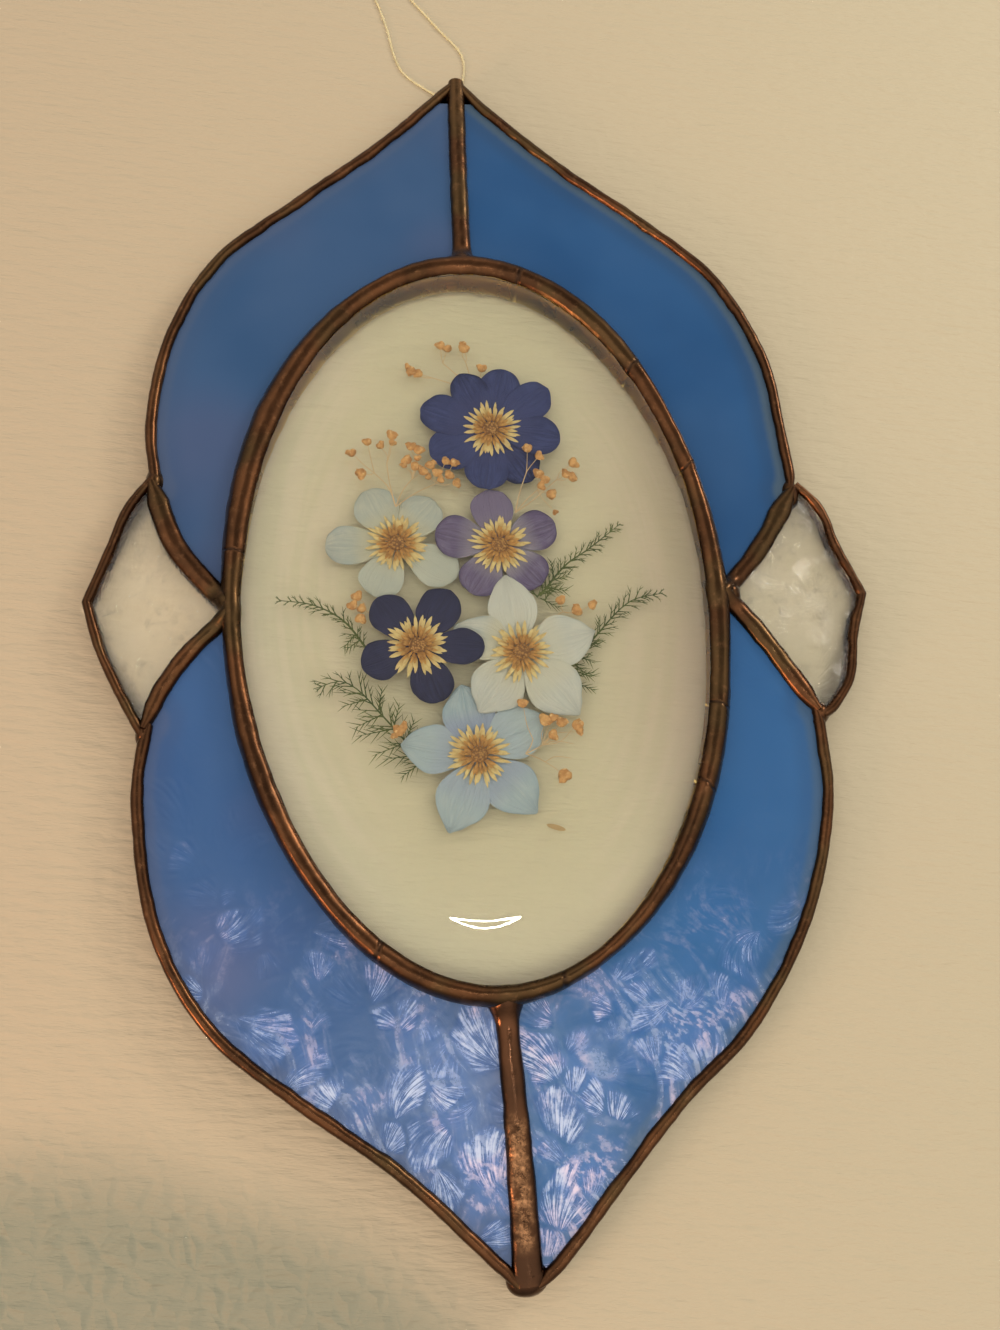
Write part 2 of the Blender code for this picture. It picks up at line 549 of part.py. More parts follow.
def make_centre(name, x, y, low, mat):
    """A yellow disc of pointed florets with a raised middle."""
    turns = [math.pi * i / FLORETS for i in range(2 * FLORETS)]

    def ring(tip, notch):
        return [(x + (notch if i % 2 else tip) * math.cos(a), y + (notch if i % 2 else tip) * math.sin(a))
                for i, a in enumerate(turns)]

    star = ring(CENTRE_RADIUS, 0.74 * CENTRE_RADIUS)
    stack(name, [(star, low), (star, low + 0.2), (ring(0.46 * CENTRE_RADIUS, 0.46 * CENTRE_RADIUS),
                                                   low + CENTRE_HEIGHT)], mat)


def make_ferns(mat):
    """Flat toothed sprigs: a stem with needles that lean towards the tip."""
    for name, (route, needle) in FERNS.items():
        length = sum((Vector(q) - Vector(p)).length for p, q in zip(route, route[1:]))
        stem = smooth_through(route, max(3, round(length / NEEDLE_STEP)))
        sides = left_normals(stem, False)
        up_one_side = []
        up_other_side = []
        for i in range(1, len(stem)):
            foot, tip = stem[i], stem[i - 1]
            forward = (tip - foot).normalized()
            wide = needle * min(1.0, 0.35 + 0.25 * i)
            for way, edge in ((1, up_one_side), (-1, up_other_side)):
                out = sides[i].normalized() * way
                edge.append((foot + forward * NEEDLE_STEP * 0.55 + out * FERN_STEM / 2).xy)
                edge.append((foot + forward * wide * 0.6 + out * wide * 0.8 + out * FERN_STEM / 2).xy)
                edge.append((foot + forward * NEEDLE_STEP * 0.12 + out * FERN_STEM / 2).xy)
        outline = [stem[0].xy, *up_one_side, stem[-1].xy, *up_other_side[::-1]]
        plate(name, [tuple(p) for p in outline], LAYER_FLOOR, LAYER_FLOOR + FERN_THICKNESS, mat)


def bud(name, x, y, width, low, mat, turn=0.0):
    """A bud pressed flat, turned about its middle."""
    loops = []
    turns = [turn + 2 * math.pi * i / BUD_SIDES for i in range(BUD_SIDES)]
    for share, rise in ((0.5, 0.0), (1.0, 0.45), (0.5, 1.0)):
        loop = [(x + width / 2 * share * math.cos(a), y + width / 2 * share * math.sin(a)) for a in turns]
        loops.append((loop, low + BUD_HEIGHT * rise))
    return stack(name, loops, mat)


def make_sprays(bud_mat):
    """Each spray is one solid: its buds, and stems that gather at one place."""
    for name, (layer, (x, y), buds) in SPRAYS.items():
        low = layer_height(layer)
        knot = bud(name, x, y, KNOT_WIDTH, low, bud_mat)
        for i, (bx, by, width) in enumerate(buds):
            combine(knot, cutter(bud(f"{name}_bud_{i}", bx, by, width, low, None, turn=0.3 + i)), "UNION")
            foot = low + STEM_FOOT + STEM_STEP * i
            route = [Vector((x, y, 0)), Vector((bx, by, 0))]
            half = STEM_WIDTH / 2
            stem = [(half, foot), (0, foot + STEM_HEIGHT), (-half, foot)]
            combine(knot, cutter(sweep(f"{name}_stem_{i}", route, stem, None)), "UNION")


def make_bract(mat):
    layer, (x, y), length, width = BRACT
    turns = [math.pi * i / 5 for i in range(10)]
    outline = [(x + length / 2 * math.cos(a), y + width / 2 * math.sin(a) - BRACT_TILT * length * math.cos(a))
               for a in turns]
    plate("loose_bract", outline, layer_height(layer), layer_height(layer) + PETAL_THICKNESS, mat)


def main():
    clear_scene()
    solder = finish("dark copper solder", (0.10, 0.045, 0.022), 0.32, metallic=1.0)
    blue = finish("blue glass", (0.06, 0.16, 0.42), 0.15, transmission=0.8)
    clear = finish("clear glass", (0.82, 0.84, 0.74), 0.12, transmission=0.9)
    resin = finish("clear resin", (0.86, 0.87, 0.76), 0.03, transmission=1.0)
    make_rim(solder)
    make_seams(solder)
    make_edges(solder)
    make_loop(solder)
    make_side_glass(blue, clear)
    make_oval(resin)
    make_blossoms(finish("yellow florets", (0.62, 0.36, 0.10), 0.8))
    make_ferns(finish("fern green", (0.09, 0.11, 0.03), 0.8))
    make_sprays(finish("orange bud", (0.50, 0.22, 0.06), 0.8))
    make_bract(finish("dry bract", (0.62, 0.45, 0.22), 0.8))
    make_line(finish("clear yellow line", (0.75, 0.66, 0.36), 0.3, transmission=0.4))


main()
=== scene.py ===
import math
import random

import bmesh
import bpy
import numpy as np
from mathutils import Matrix, Vector, noise
from mathutils.geometry import interpolate_bezier


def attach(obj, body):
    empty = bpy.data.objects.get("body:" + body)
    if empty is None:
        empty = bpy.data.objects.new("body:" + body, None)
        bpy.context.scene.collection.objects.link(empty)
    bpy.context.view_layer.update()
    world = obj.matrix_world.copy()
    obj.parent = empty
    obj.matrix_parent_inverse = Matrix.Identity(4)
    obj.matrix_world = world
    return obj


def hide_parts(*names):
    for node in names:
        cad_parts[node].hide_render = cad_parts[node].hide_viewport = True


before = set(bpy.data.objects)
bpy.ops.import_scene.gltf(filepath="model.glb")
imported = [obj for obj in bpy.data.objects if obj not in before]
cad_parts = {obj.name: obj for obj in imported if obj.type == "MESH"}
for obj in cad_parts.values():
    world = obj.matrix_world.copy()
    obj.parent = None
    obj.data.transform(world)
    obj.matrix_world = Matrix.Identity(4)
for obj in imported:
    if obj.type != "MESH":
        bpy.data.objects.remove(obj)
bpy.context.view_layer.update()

mm = 0.001
hair = 0.00002  # the least height or distance that counts, in metres
middle = (0.8, -0.1)  # the outline's middle on the drawing, which is the frame's origin


# Places and routes, drawn in millimetres

def at(x, y, z=0.0):
    return Vector(((x - middle[0]) * mm, (y - middle[1]) * mm, z * mm))


def towards(degrees):
    return Vector((math.cos(math.radians(degrees)), math.sin(math.radians(degrees)), 0))


def titled(key):
    return key.replace("_", " ").title().replace(" ", "")


def smoothRoute(points, steps):
    points = [Vector(p).to_3d() for p in points]
    last = len(points) - 1
    slopes = [(points[min(i + 1, last)] - points[max(i - 1, 0)]).normalized() for i in range(last + 1)]
    fine = []
    for p, q, leaving, arriving in zip(points, points[1:], slopes, slopes[1:]):
        reach = (q - p).length / 3
        fine += interpolate_bezier(p, p + leaving * reach, q - arriving * reach, q, 17)[:-1]
    fine.append(points[-1])
    lengths = [0.0]
    for p, q in zip(fine, fine[1:]):
        lengths.append(lengths[-1] + (q - p).length)
    even = []
    here = 0
    for i in range(steps + 1):
        want = lengths[-1] * i / steps
        while here < len(fine) - 2 and lengths[here + 1] < want:
            here += 1
        share = (want - lengths[here]) / (lengths[here + 1] - lengths[here])
        even.append(fine[here].lerp(fine[here + 1], min(1.0, share)))
    return even


def routeLength(points):
    return sum((q - p).length for p, q in zip(points, points[1:]))


# Camera, fitted to the picture's outline

camera = {"place": (-23.2, -66.1, 200.1), "right": (0.9922, -0.0552, 0.112), "up": (0.0228, 0.9618, 0.2727),
          "look": (0.1228, 0.268, -0.9556), "focalShare": 1.2}

cameraData = bpy.data.cameras.new("photoCamera")
cameraData.sensor_fit = "HORIZONTAL"
cameraData.sensor_width = 36
cameraData.lens = 36 * camera["focalShare"]
cameraData.clip_start = 0.005
cameraData.clip_end = 20
photoCamera = bpy.data.objects.new("photoCamera", cameraData)
bpy.context.collection.objects.link(photoCamera)
turn = Matrix((camera["right"], camera["up"], [-a for a in camera["look"]])).transposed()
photoCamera.matrix_world = Matrix.Translation(at(*camera["place"])) @ turn.to_4x4()
bpy.context.scene.camera = photoCamera


# Shader helpers

class Wire:
    # wraps one output socket, so that sums written on it become Math nodes
    def __init__(self, finish, socket):
        self.finish = finish
        self.socket = socket

    def math(self, operation, first, second=0.0):
        return self.finish.math(operation, first, second)

    def __add__(self, other):
        return self.math("ADD", self, other)

    def __radd__(self, other):
        return self.math("ADD", other, self)

    def __sub__(self, other):
        return self.math("SUBTRACT", self, other)

    def __rsub__(self, other):
        return self.math("SUBTRACT", other, self)

    def __mul__(self, other):
        return self.math("MULTIPLY", self, other)

    def __rmul__(self, other):
        return self.math("MULTIPLY", other, self)

    def __pow__(self, other):
        return self.math("POWER", self, other)

    def upTo(self, other):
        return self.math("MINIMUM", self, other)

    def between(self, low, high):
        return self.finish.node("ShaderNodeMapRange", {"interpolation_type": "SMOOTHSTEP"},
                                {"Value": self, "From Min": low, "From Max": high})


class Finish:
    def __init__(self, name, **values):
        self.mat = bpy.data.materials.new(name)
        self.mat.use_nodes = True
        self.tree = self.mat.node_tree
        self.shader = self.tree.nodes["Principled BSDF"]
        self.set(**values)

    def plug(self, socket, value):
        if isinstance(value, Wire):
            self.tree.links.new(value.socket, socket)
        elif isinstance(value, tuple) and len(value) == 3 and socket.type == "RGBA":
            socket.default_value = (*value, 1.0)
        else:
            socket.default_value = value

    def node(self, kind, settings=None, inputs=None, output=0):
        made = self.tree.nodes.new(kind)
        for key, value in (settings or {}).items():
            if key == "stops":
                ramp = made.color_ramp
                while len(ramp.elements) < len(value):
                    ramp.elements.new(0.5)
                for stop, (place, colour) in zip(ramp.elements, value):
                    stop.position = place
                    stop.color = (*colour, 1.0)
            else:
                setattr(made, key, value)
        for key, value in (inputs or {}).items():
            self.plug(made.inputs[key], value)
        return Wire(self, made.outputs[output])

    def math(self, operation, first, second=0.0):
        return self.node("ShaderNodeMath", {"operation": operation}, {0: first, 1: second})

    def set(self, **values):
        for name, value in values.items():
            self.plug(self.shader.inputs[name.replace("_", " ")], value)

    def objectPlace(self):
        return self.node("ShaderNodeTexCoord", output="Object")

    def uvPlace(self, layer):
        return self.node("ShaderNodeUVMap", {"uv_map": layer})

    def split(self, vector, axis):
        return self.node("ShaderNodeSeparateXYZ", None, {0: vector}, axis)

    def together(self, x, y, z=0.0):
        return self.node("ShaderNodeCombineXYZ", None, {"X": x, "Y": y, "Z": z})

    def noise(self, scale, detail=3.0, place=None, roughness=0.5, output="Fac"):
        inputs = {"Vector": place or self.objectPlace(), "Scale": scale, "Detail": detail, "Roughness": roughness}
        return self.node("ShaderNodeTexNoise", None, inputs, output)

    def cells(self, scale, place=None, feature="F1", output="Distance"):
        return self.node("ShaderNodeTexVoronoi", {"feature": feature},
                         {"Vector": place or self.objectPlace(), "Scale": scale}, output)

    def blend(self, share, first, second, kind="MIX"):
        made = self.tree.nodes.new("ShaderNodeMix")
        made.data_type = "RGBA"
        made.blend_type = kind
        self.plug(made.inputs[0], share)
        self.plug(made.inputs[6], first)
        self.plug(made.inputs[7], second)
        return Wire(self, made.outputs[2])

    def bump(self, height, depth, strength=1.0, normal=None):
        inputs = {"Height": height, "Distance": depth, "Strength": strength}
        if normal:
            inputs["Normal"] = normal
        return self.node("ShaderNodeBump", None, inputs)


# Modelling helpers

def deselectAll():
    if bpy.context.object and bpy.context.object.mode != "OBJECT":
        bpy.ops.object.mode_set(mode="OBJECT")
    bpy.ops.object.select_all(action="DESELECT")


def takeNew(name):
    piece = bpy.context.object
    piece.name = name
    piece.data.name = name
    return piece


def makeActive(piece):
    deselectAll()
    piece.select_set(True)
    bpy.context.view_layer.objects.active = piece


def edit(piece):
    makeActive(piece)
    bpy.ops.object.mode_set(mode="EDIT")


def leaveEdit():
    bpy.ops.object.mode_set(mode="OBJECT")


def pick(piece, test, kind="verts"):
    mode = {"verts": "VERT", "edges": "EDGE", "faces": "FACE"}[kind]
    bpy.ops.mesh.select_mode(type=mode)
    bpy.ops.mesh.select_all(action="DESELECT")
    mesh = bmesh.from_edit_mesh(piece.data)
    for item in getattr(mesh, kind):
        if test(item):
            item.select_set(True)
    mesh.select_flush_mode()
    bmesh.update_edit_mesh(piece.data)


def shapeVerts(piece, rule):
    mesh = piece.data
    for vert in mesh.vertices:
        vert.co = rule(vert.co.copy())
    mesh.update()


def applyAll(piece):
    makeActive(piece)
    for modifier in list(piece.modifiers):
        bpy.ops.object.modifier_apply(modifier=modifier.name)


def joinAll(pieces, name):
    deselectAll()
    for piece in pieces:
        piece.select_set(True)
    bpy.context.view_layer.objects.active = pieces[0]
    if len(pieces) > 1:
        bpy.ops.object.join()
    return takeNew(name)


def copyOf(blank, change):
    piece = blank.copy()
    piece.data = blank.data.copy()
    piece.data.transform(change)
    bpy.context.collection.objects.link(piece)
    return piece


def discard(piece):
    bpy.data.objects.remove(piece, do_unlink=True)


def dress(piece, *finishes, chosen=0):
    piece.data.materials.clear()
    for finish in finishes:
        piece.data.materials.append(finish.mat)
    if chosen:
        for face in piece.data.polygons:
            face.material_index = chosen


def smooth(piece, degrees=40):
    makeActive(piece)
    bpy.ops.object.shade_smooth_by_angle(angle=math.radians(degrees))


def lieFlat(x, y, z, direction, length=1.0, width=1.0, height=1.0):
    # a blank that runs along +Y, sized, turned and put down
    turned = Matrix.Rotation(math.radians(direction - 90), 4, "Z")
    return Matrix.Translation(at(x, y, z)) @ turned @ Matrix.Diagonal((width * mm, length * mm, height * mm, 1))


def drawBead(name, route, section, widths=None, heights=None, closed=False):
    # the section is set at the route's start, then extruded from point to point and turned with the route
    count = len(route)
    ways = []
    for i in range(count):
        before = route[i - 1] if closed or i else route[i]
        after = route[(i + 1) % count] if closed or i < count - 1 else route[i]
        ways.append((after - before).normalized())
    sides = [Vector((-way.y, way.x, 0)).normalized() for way in ways]
    widths = widths or [1.0] * count
    heights = heights or [1.0] * count
    deselectAll()
    bpy.ops.mesh.primitive_circle_add(vertices=len(section), radius=mm, fill_type="NOTHING")
    bead = takeNew(name)
    bpy.ops.object.mode_set(mode="EDIT")
    mesh = bmesh.from_edit_mesh(bead.data)
    for vert, (across, up) in zip(mesh.verts, section):
        vert.co = route[0] + sides[0] * across * widths[0] * mm + Vector((0, 0, up * heights[0] * mm))
    bmesh.update_edit_mesh(bead.data)
    bpy.ops.mesh.select_all(action="SELECT")
    facing = math.atan2(sides[0].y, sides[0].x)
    for i in range(1, count):
        bpy.ops.mesh.extrude_region_move(TRANSFORM_OT_translate={"value": route[i] - route[i - 1]})
        now = math.atan2(sides[i].y, sides[i].x)
        swing = (now - facing + math.pi) % (2 * math.pi) - math.pi
        facing = now
        bpy.ops.transform.rotate(value=-swing, orient_axis="Z", center_override=route[i])
        wide = widths[i] / widths[i - 1]
        high = heights[i] / heights[i - 1]
        bpy.ops.transform.resize(value=(wide, wide, high), center_override=route[i])
    pick(bead, lambda edge: edge.is_boundary, "edges")
    if closed:
        bpy.ops.mesh.bridge_edge_loops()
    else:
        bpy.ops.mesh.fill_holes(sides=0)
    bpy.ops.mesh.select_all(action="SELECT")
    bpy.ops.mesh.normals_make_consistent(inside=False)
    leaveEdit()
    return bead


def wander(count, size, span, seed):
    # a hand's unevenness along a bead: a slow and a quick wave round 1
    return [1.0 + size * noise.noise(Vector((i / span, seed, 0))) + 0.4 * size * noise.noise(
        Vector((i / span * 3.1, seed, 5))) for i in range(count)]


def swell(piece, spots):
    # lumps of solder: (x, y, radius, rise, spread), each raising the crest and widening the bead
    lumps = [(at(x, y), radius * mm, rise * mm, spread) for x, y, radius, rise, spread in spots]
    for vert in piece.data.vertices:
        for centre, radius, rise, spread in lumps:
            flat = Vector((vert.co.x - centre.x, vert.co.y - centre.y, 0))
            if flat.length < radius and vert.co.z > 0.002:
                share = 0.5 + 0.5 * math.cos(math.pi * flat.length / radius)
                vert.co += flat * spread * share
                vert.co.z += rise * share


# Hanging line

line = {"diameter": 0.45, "points": 76,
        "route": [(-0.35, 105.8, 1.15), (-1.3, 106.5, 1.0), (-2.7, 107.6, 0.6), (-4.3, 108.8, 0.35),
                  (-6.2, 110.2, 0.25), (-8.9, 112.3, 0.24), (-10.8, 114.6, 0.24), (-12.1, 118.9, 0.24),
                  (-13.1, 124.2, 0.24), (-14.5, 129.3, 0.24), (-16.4, 135.0, 0.24), (-19.0, 142.0, 0.24),
                  (-21.4, 150.0, 0.24), (-22.0, 158.0, 0.24), (-20.2, 165.0, 0.24), (-16.2, 168.2, 0.24),
                  (-12.6, 165.0, 0.24), (-11.4, 158.0, 0.24), (-11.7, 150.0, 0.24), (-11.6, 142.5, 0.24),
                  (-10.4, 136.2, 0.24), (-7.9, 131.8, 0.24), (-5.3, 128.4, 0.24), (-2.8, 124.9, 0.24),
                  (-0.3, 121.9, 0.24), (1.7, 118.9, 0.24), (2.2, 115.6, 0.24), (1.7, 112.2, 0.26),
                  (1.2, 109.6, 0.45), (0.8, 107.6, 0.9), (0.35, 106.1, 1.14)]}


def makeLine():
    route = [at(*p) for p in smoothRoute(line["route"], line["points"])]
    curve = bpy.data.curves.new("hangingLine", "CURVE")
    curve.dimensions = "3D"
    curve.bevel_depth = line["diameter"] / 2 * mm
    curve.bevel_resolution = 3
    curve.use_fill_caps = True
    spline = curve.splines.new("POLY")
    spline.points.add(len(route) - 1)
    for point, place in zip(spline.points, route):
        point.co = (*place, 1)
    piece = bpy.data.objects.new("hangingLine", curve)
    bpy.context.collection.objects.link(piece)
    finish = Finish("clearYellowLine", Roughness=0.15, Transmission_Weight=0.7, IOR=1.45)
    tint = finish.blend(finish.noise(300), (0.95, 0.87, 0.60), (0.90, 0.79, 0.48))
    finish.set(Base_Color=tint)
    curve.materials.append(finish.mat)
    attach(piece, "root")
    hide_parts("hanging_line")
    print("line", round(routeLength(route), 4))
    return piece


makeLine()


# Solder: one bead over each seam and edge

solder = {
    "bend": 0.8,  # length of one step along a bead
    "around": 345,  # length of the rim
    "flareFrom": 4.6,  # a seam widens over this length, into the rim
    "blobs": {"topSeam": [(-0.15, 105.8, 2.7, 2.3, 5.3)],
              "bottomSeam": [(1.0, -106.3, 3.5, 3.05, 5.7)],
              "upperLeftSeam": [(-56.2, 22.8, 1.7, 3.1, 5.5)],
              "lowerLeftSeam": [(-57.0, -21.4, 1.6, 2.2, 5.4)],
              "upperRightSeam": [(57.5, 20.5, 1.8, 2.9, 5.5), (43.6, 0.9, 2.2, 2.7, 6.7)],
              "lowerRightSeam": [(57.7, -21.0, 1.9, 2.1, 5.4)]},
    "rimMiddle": (-0.9, 0.3), "rimHalf": (42.1, 65.7),
    "outerReach": [2.1, 1.85, 1.55, 1.25, 2.0, 1.9, 2.3, 1.3, 2.2, 2.7, 2.6, 2.2, 1.7, 1.6, 1.8, 1.4, 1.1, 1.5, 2.0,
                   1.3, 2.0, 2.4, 2.25, 1.8],  # every 15 degrees from +X
    "innerReach": [2.3, 2.1, 1.9, 2.2, 2.3, 2.3, 2.3, 2.3, 2.3, 2.2, 2.0, 2.0, 1.6, 1.7, 2.0, 2.2, 2.2, 2.0, 1.4,
                   1.2, 1.3, 1.6, 1.9, 2.3],
    "joints": [55.7, 32.0, -26.7, -42.8, -108.4, 167.6, -81.1, 81.0],
    "rimLumps": [(29.4, 44.8, 2.2, 0.22, 0.10), (30.6, 42.6, 1.6, 0.16, 0.05), (38.1, 25.2, 1.9, 0.34, 0.14),
                 (39.3, -19.3, 1.5, 0.24, 0.08),
                 (35.2, -33.3, 1.3, 0.20, 0.08), (-20.6, -58.3, 1.3, 0.22, 0.06), (8.7, 63.1, 1.0, -0.25, 0.0),
                 (-43.6, -0.8, 3.4, 0.30, 0.22), (42.0, 0.9, 3.4, 0.35, 0.24), (-0.2, -66.0, 3.2, 0.25, 0.18),
                 (-0.8, 66.2, 3.4, 0.15, 0.14), (-9.0, 64.9, 1.8, 0.12, 0.05)],
}

routes = {
    "upperLeftEdge": [(-0.5, 108.8), (-3.3, 106.4), (-15.5, 94.3), (-32.8, 79.8), (-46.5, 67.7), (-54.7, 52.4),
                      (-58.0, 35.5), (-57.2, 24.6), (-56.2, 21.8)],
    "upperRightEdge": [(0.3, 108.8), (6.4, 102.1), (19.6, 89.8), (36.4, 76.6), (48.3, 65.2), (56.3, 48.0),
                       (58.1, 31.7), (58.7, 23.6), (57.9, 20.8)],
    "lowerLeftEdge": [(-56.6, -19.6), (-58.0, -22.6), (-58.7, -34.0), (-55.5, -53.3), (-46.9, -68.8), (-34.1, -79.8),
                      (-17.9, -91.8), (-6.9, -102.3), (-2.6, -106.4), (-0.9, -107.9)],
    "lowerRightEdge": [(57.3, -20.0), (58.3, -23.0), (57.8, -37.9), (51.7, -56.2), (40.2, -73.1), (28.4, -83.1),
                       (16.9, -94.7), (7.2, -105.0), (4.4, -107.2), (2.6, -108.1)],
    "leftSideUpper": [(-57.4, 23.8), (-61.3, 18.4), (-64.0, 11.0), (-67.6, 1.3)],
    "leftSideLower": [(-67.6, 1.3), (-65.4, -6.6), (-61.9, -14.4), (-58.0, -21.9)],
    "rightSideUpper": [(59.0, 22.4), (63.2, 17.5), (65.6, 9.6), (69.2, 0.5)],
    "rightSideLower": [(69.2, 0.5), (66.4, -7.6), (64.8, -15.0), (60.9, -20.7), (58.5, -22.2)],
    "topSeam": [(-0.2, 108.1), (-0.6, 90.0), (-0.8, 66.0)],
    "bottomSeam": [(0.95, -107.4), (0.6, -88.0), (-0.3, -65.8)],
    "upperLeftSeam": [(-56.6, 22.8), (-52.9, 12.0), (-48.3, 5.6), (-43.4, 0.2)],
    "lowerLeftSeam": [(-57.0, -20.6), (-54.4, -14.3), (-49.7, -7.5), (-43.4, -1.4)],
    "upperRightSeam": [(57.7, 21.0), (50.6, 10.0), (45.6, 4.3), (42.2, 1.0)],
    "lowerRightSeam": [(57.3, -20.6), (50.6, -9.7), (45.6, -2.5), (42.2, 0.8)],
}


def seamSection(width, crown):
    half = width / 2
    front = [(half * math.cos(math.pi * i / 14), 4.32 + crown * math.sin(math.pi * i / 14)) for i in range(15)]
    back = [(-0.4, 4.3), (-0.4, 1.0), (-half, 1.0), (-0.9 * half, 0.35), (-0.6 * half, 0.02), (0.6 * half, 0.02),
            (0.9 * half, 0.35), (half, 1.0), (0.4, 1.0), (0.4, 4.3)]
    return front + back


def rimSection():
    half = 1.7
    inner = [(half, 6.3), (0.93 * half, 6.75), (0.72 * half, 7.2), (0.4 * half, 7.5), (0.05 * half, 7.6)]
    outer = [(-0.3 * half, 7.42), (-0.6 * half, 6.9), (-0.84 * half, 6.1), (-0.98 * half, 5.2), (-half, 4.35)]
    back = [(-0.4, 4.35), (-0.4, 1.0), (-half, 1.0), (-0.9 * half, 0.35), (-0.6 * half, 0.02), (0.6 * half, 0.02),
            (0.9 * half, 0.35), (half, 1.0), (0.4, 1.0), (0.4, 6.3)]
    return inner + outer + back


def edgeSection(inward):
    shape = [(2.05, 4.32), (1.95, 4.75), (1.6, 5.1), (1.1, 5.28), (0.6, 5.18), (0.22, 4.85), (0.03, 4.3), (0.0, 3.4),
             (0.04, 2.4), (0.0, 1.4), (0.1, 0.7), (0.4, 0.12), (0.9, 0.02), (1.5, 0.1), (1.9, 0.5), (2.0, 1.05),
             (0.7, 1.05), (0.7, 4.3)]
    return [(inward * across, up) for across, up in shape]


def finishSolder(name, joints=()):
    finish = Finish(name, Metallic=1.0, Specular_IOR_Level=0.5)
    patches = finish.noise(95, 4, roughness=0.6).between(0.40, 0.64)
    olive = finish.noise(60, 3).between(0.50, 0.62)
    rub = finish.noise(700, 4, roughness=0.7).between(0.52, 0.74)
    tone = finish.blend(patches, (0.049, 0.022, 0.0105), (0.088, 0.037, 0.0160))
    tone = finish.blend(olive * 0.6, tone, (0.062, 0.040, 0.017))
    tone = finish.blend(rub * 0.35, tone, (0.20, 0.095, 0.045))
    relief = finish.noise(520, 4, roughness=0.6)
    if joints:
        # lines where one run of solder met the next, across the bead
        place = finish.objectPlace()
        cx, cy = solder["rimMiddle"]
        hx, hy = solder["rimHalf"]
        x = finish.split(place, "X") - at(cx, cy).x
        y = finish.split(place, "Y") - at(cx, cy).y
        turned = finish.math("ARCTAN2", y, x) + 0.03 * finish.noise(160, 2)
        seam = 0.0
        for degrees in joints:
            away = finish.math("ABSOLUTE", turned - math.radians(degrees) - 0.015)
            seam = seam + away.between(0.010, 0.001)
        relief = relief - seam * 2.4
        tone = finish.blend(seam * 0.7, tone, (0.022, 0.013, 0.009))
        # the copper foil on the oval's edge, seen through it
        share = (x * x) * (1e6 / hx ** 2) + (y * y) * (1e6 / hy ** 2)
        foil = share.between(0.9965, 0.9935) * finish.split(place, "Z").between(0.0064, 0.0062)
        tone = finish.blend(foil, tone, (0.62, 0.43, 0.14))
    finish.set(Base_Color=tone)
    finish.set(Roughness=0.17 + 0.22 * finish.noise(240, 3))
    finish.set(Normal=finish.bump(relief, 0.00012, 0.5))
    return finish


def finishCrust():
    # the grainy coppery stretch on the bottom seam
    finish = Finish("grainySolder", Metallic=1.0)
    crust = finish.noise(330, 6, roughness=0.8).between(0.40, 0.64)
    fine = finish.noise(1500, 3, roughness=0.6).between(0.40, 0.70)
    place = finish.objectPlace()
    x = finish.split(place, "X")
    y = finish.split(place, "Y")
    crest = finish.math("ABSOLUTE", x + 0.0009 + (y + 0.066) * 0.022).between(0.0021, 0.0004)
    reach = y.between(-0.0815, -0.0870) * y.between(-0.1035, -0.1000) * crest
    plain = finish.blend(finish.noise(95, 4).between(0.4, 0.64), (0.046, 0.022, 0.012), (0.078, 0.034, 0.017))
    coppery = finish.blend(crust * (0.4 + 0.6 * fine), (0.052, 0.024, 0.012), (0.44, 0.22, 0.105))
    finish.set(Base_Color=finish.blend(reach, plain, coppery))
    finish.set(Roughness=0.14 + 0.14 * crust + 0.10 * reach)
    grains = finish.bump(finish.noise(1300, 3), 0.00016, finish.node("ShaderNodeClamp", None, {"Value": reach}))
    finish.set(Normal=finish.bump(finish.noise(520, 4, roughness=0.6), 0.00012, 0.5, grains))
    return finish


def steps(name):
    return max(6, round(routeLength([Vector(p).to_3d() for p in routes[name]]) / solder["bend"]))


def flatRoute(name):
    return [at(p.x, p.y) for p in smoothRoute(routes[name], steps(name))]


def ends(count, reach, least):
    # tapers a bead's last few steps
    return [min(1.0, least + (1 - least) * min(i, count - 1 - i) / reach) for i in range(count)]


def withBlobs(piece, spots):
    # round lumps where beads meet: (x, y, half width, half length, top)
    blobs = []
    for x, y, wide, long, top in spots:
        deselectAll()
        bpy.ops.mesh.primitive_uv_sphere_add(segments=28, ring_count=16, radius=mm)
        blob = takeNew("blob")
        seed = x + y

        def rule(co):
            lump = 1 + 0.10 * noise.noise(co * 900 + Vector((seed, 0, 0)))
            return Vector((co.x * wide * lump, co.y * long * lump, co.z * (top / 2) * 0.99))

        shapeVerts(blob, rule)
        blob.data.transform(Matrix.Translation(at(x, y, top / 2)))
        blobs.append(blob)
    return joinAll([piece] + blobs, piece.name)


def keepSolder(piece, finish, *nodes):
    modifier = piece.modifiers.new("hammered", "DISPLACE")
    clouds = bpy.data.textures.get("solderClouds") or bpy.data.textures.new("solderClouds", "CLOUDS")
    clouds.noise_scale = 0.0022
    clouds.noise_depth = 2
    modifier.texture = clouds
    modifier.texture_coords = "LOCAL"
    modifier.strength = 0.00022
    modifier.mid_level = 0.5
    applyAll(piece)
    for vert in piece.data.vertices:
        vert.co.z = max(vert.co.z, hair)
    smooth(piece, 50)
    dress(piece, *finish)
    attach(piece, "root")
    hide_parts(*nodes)


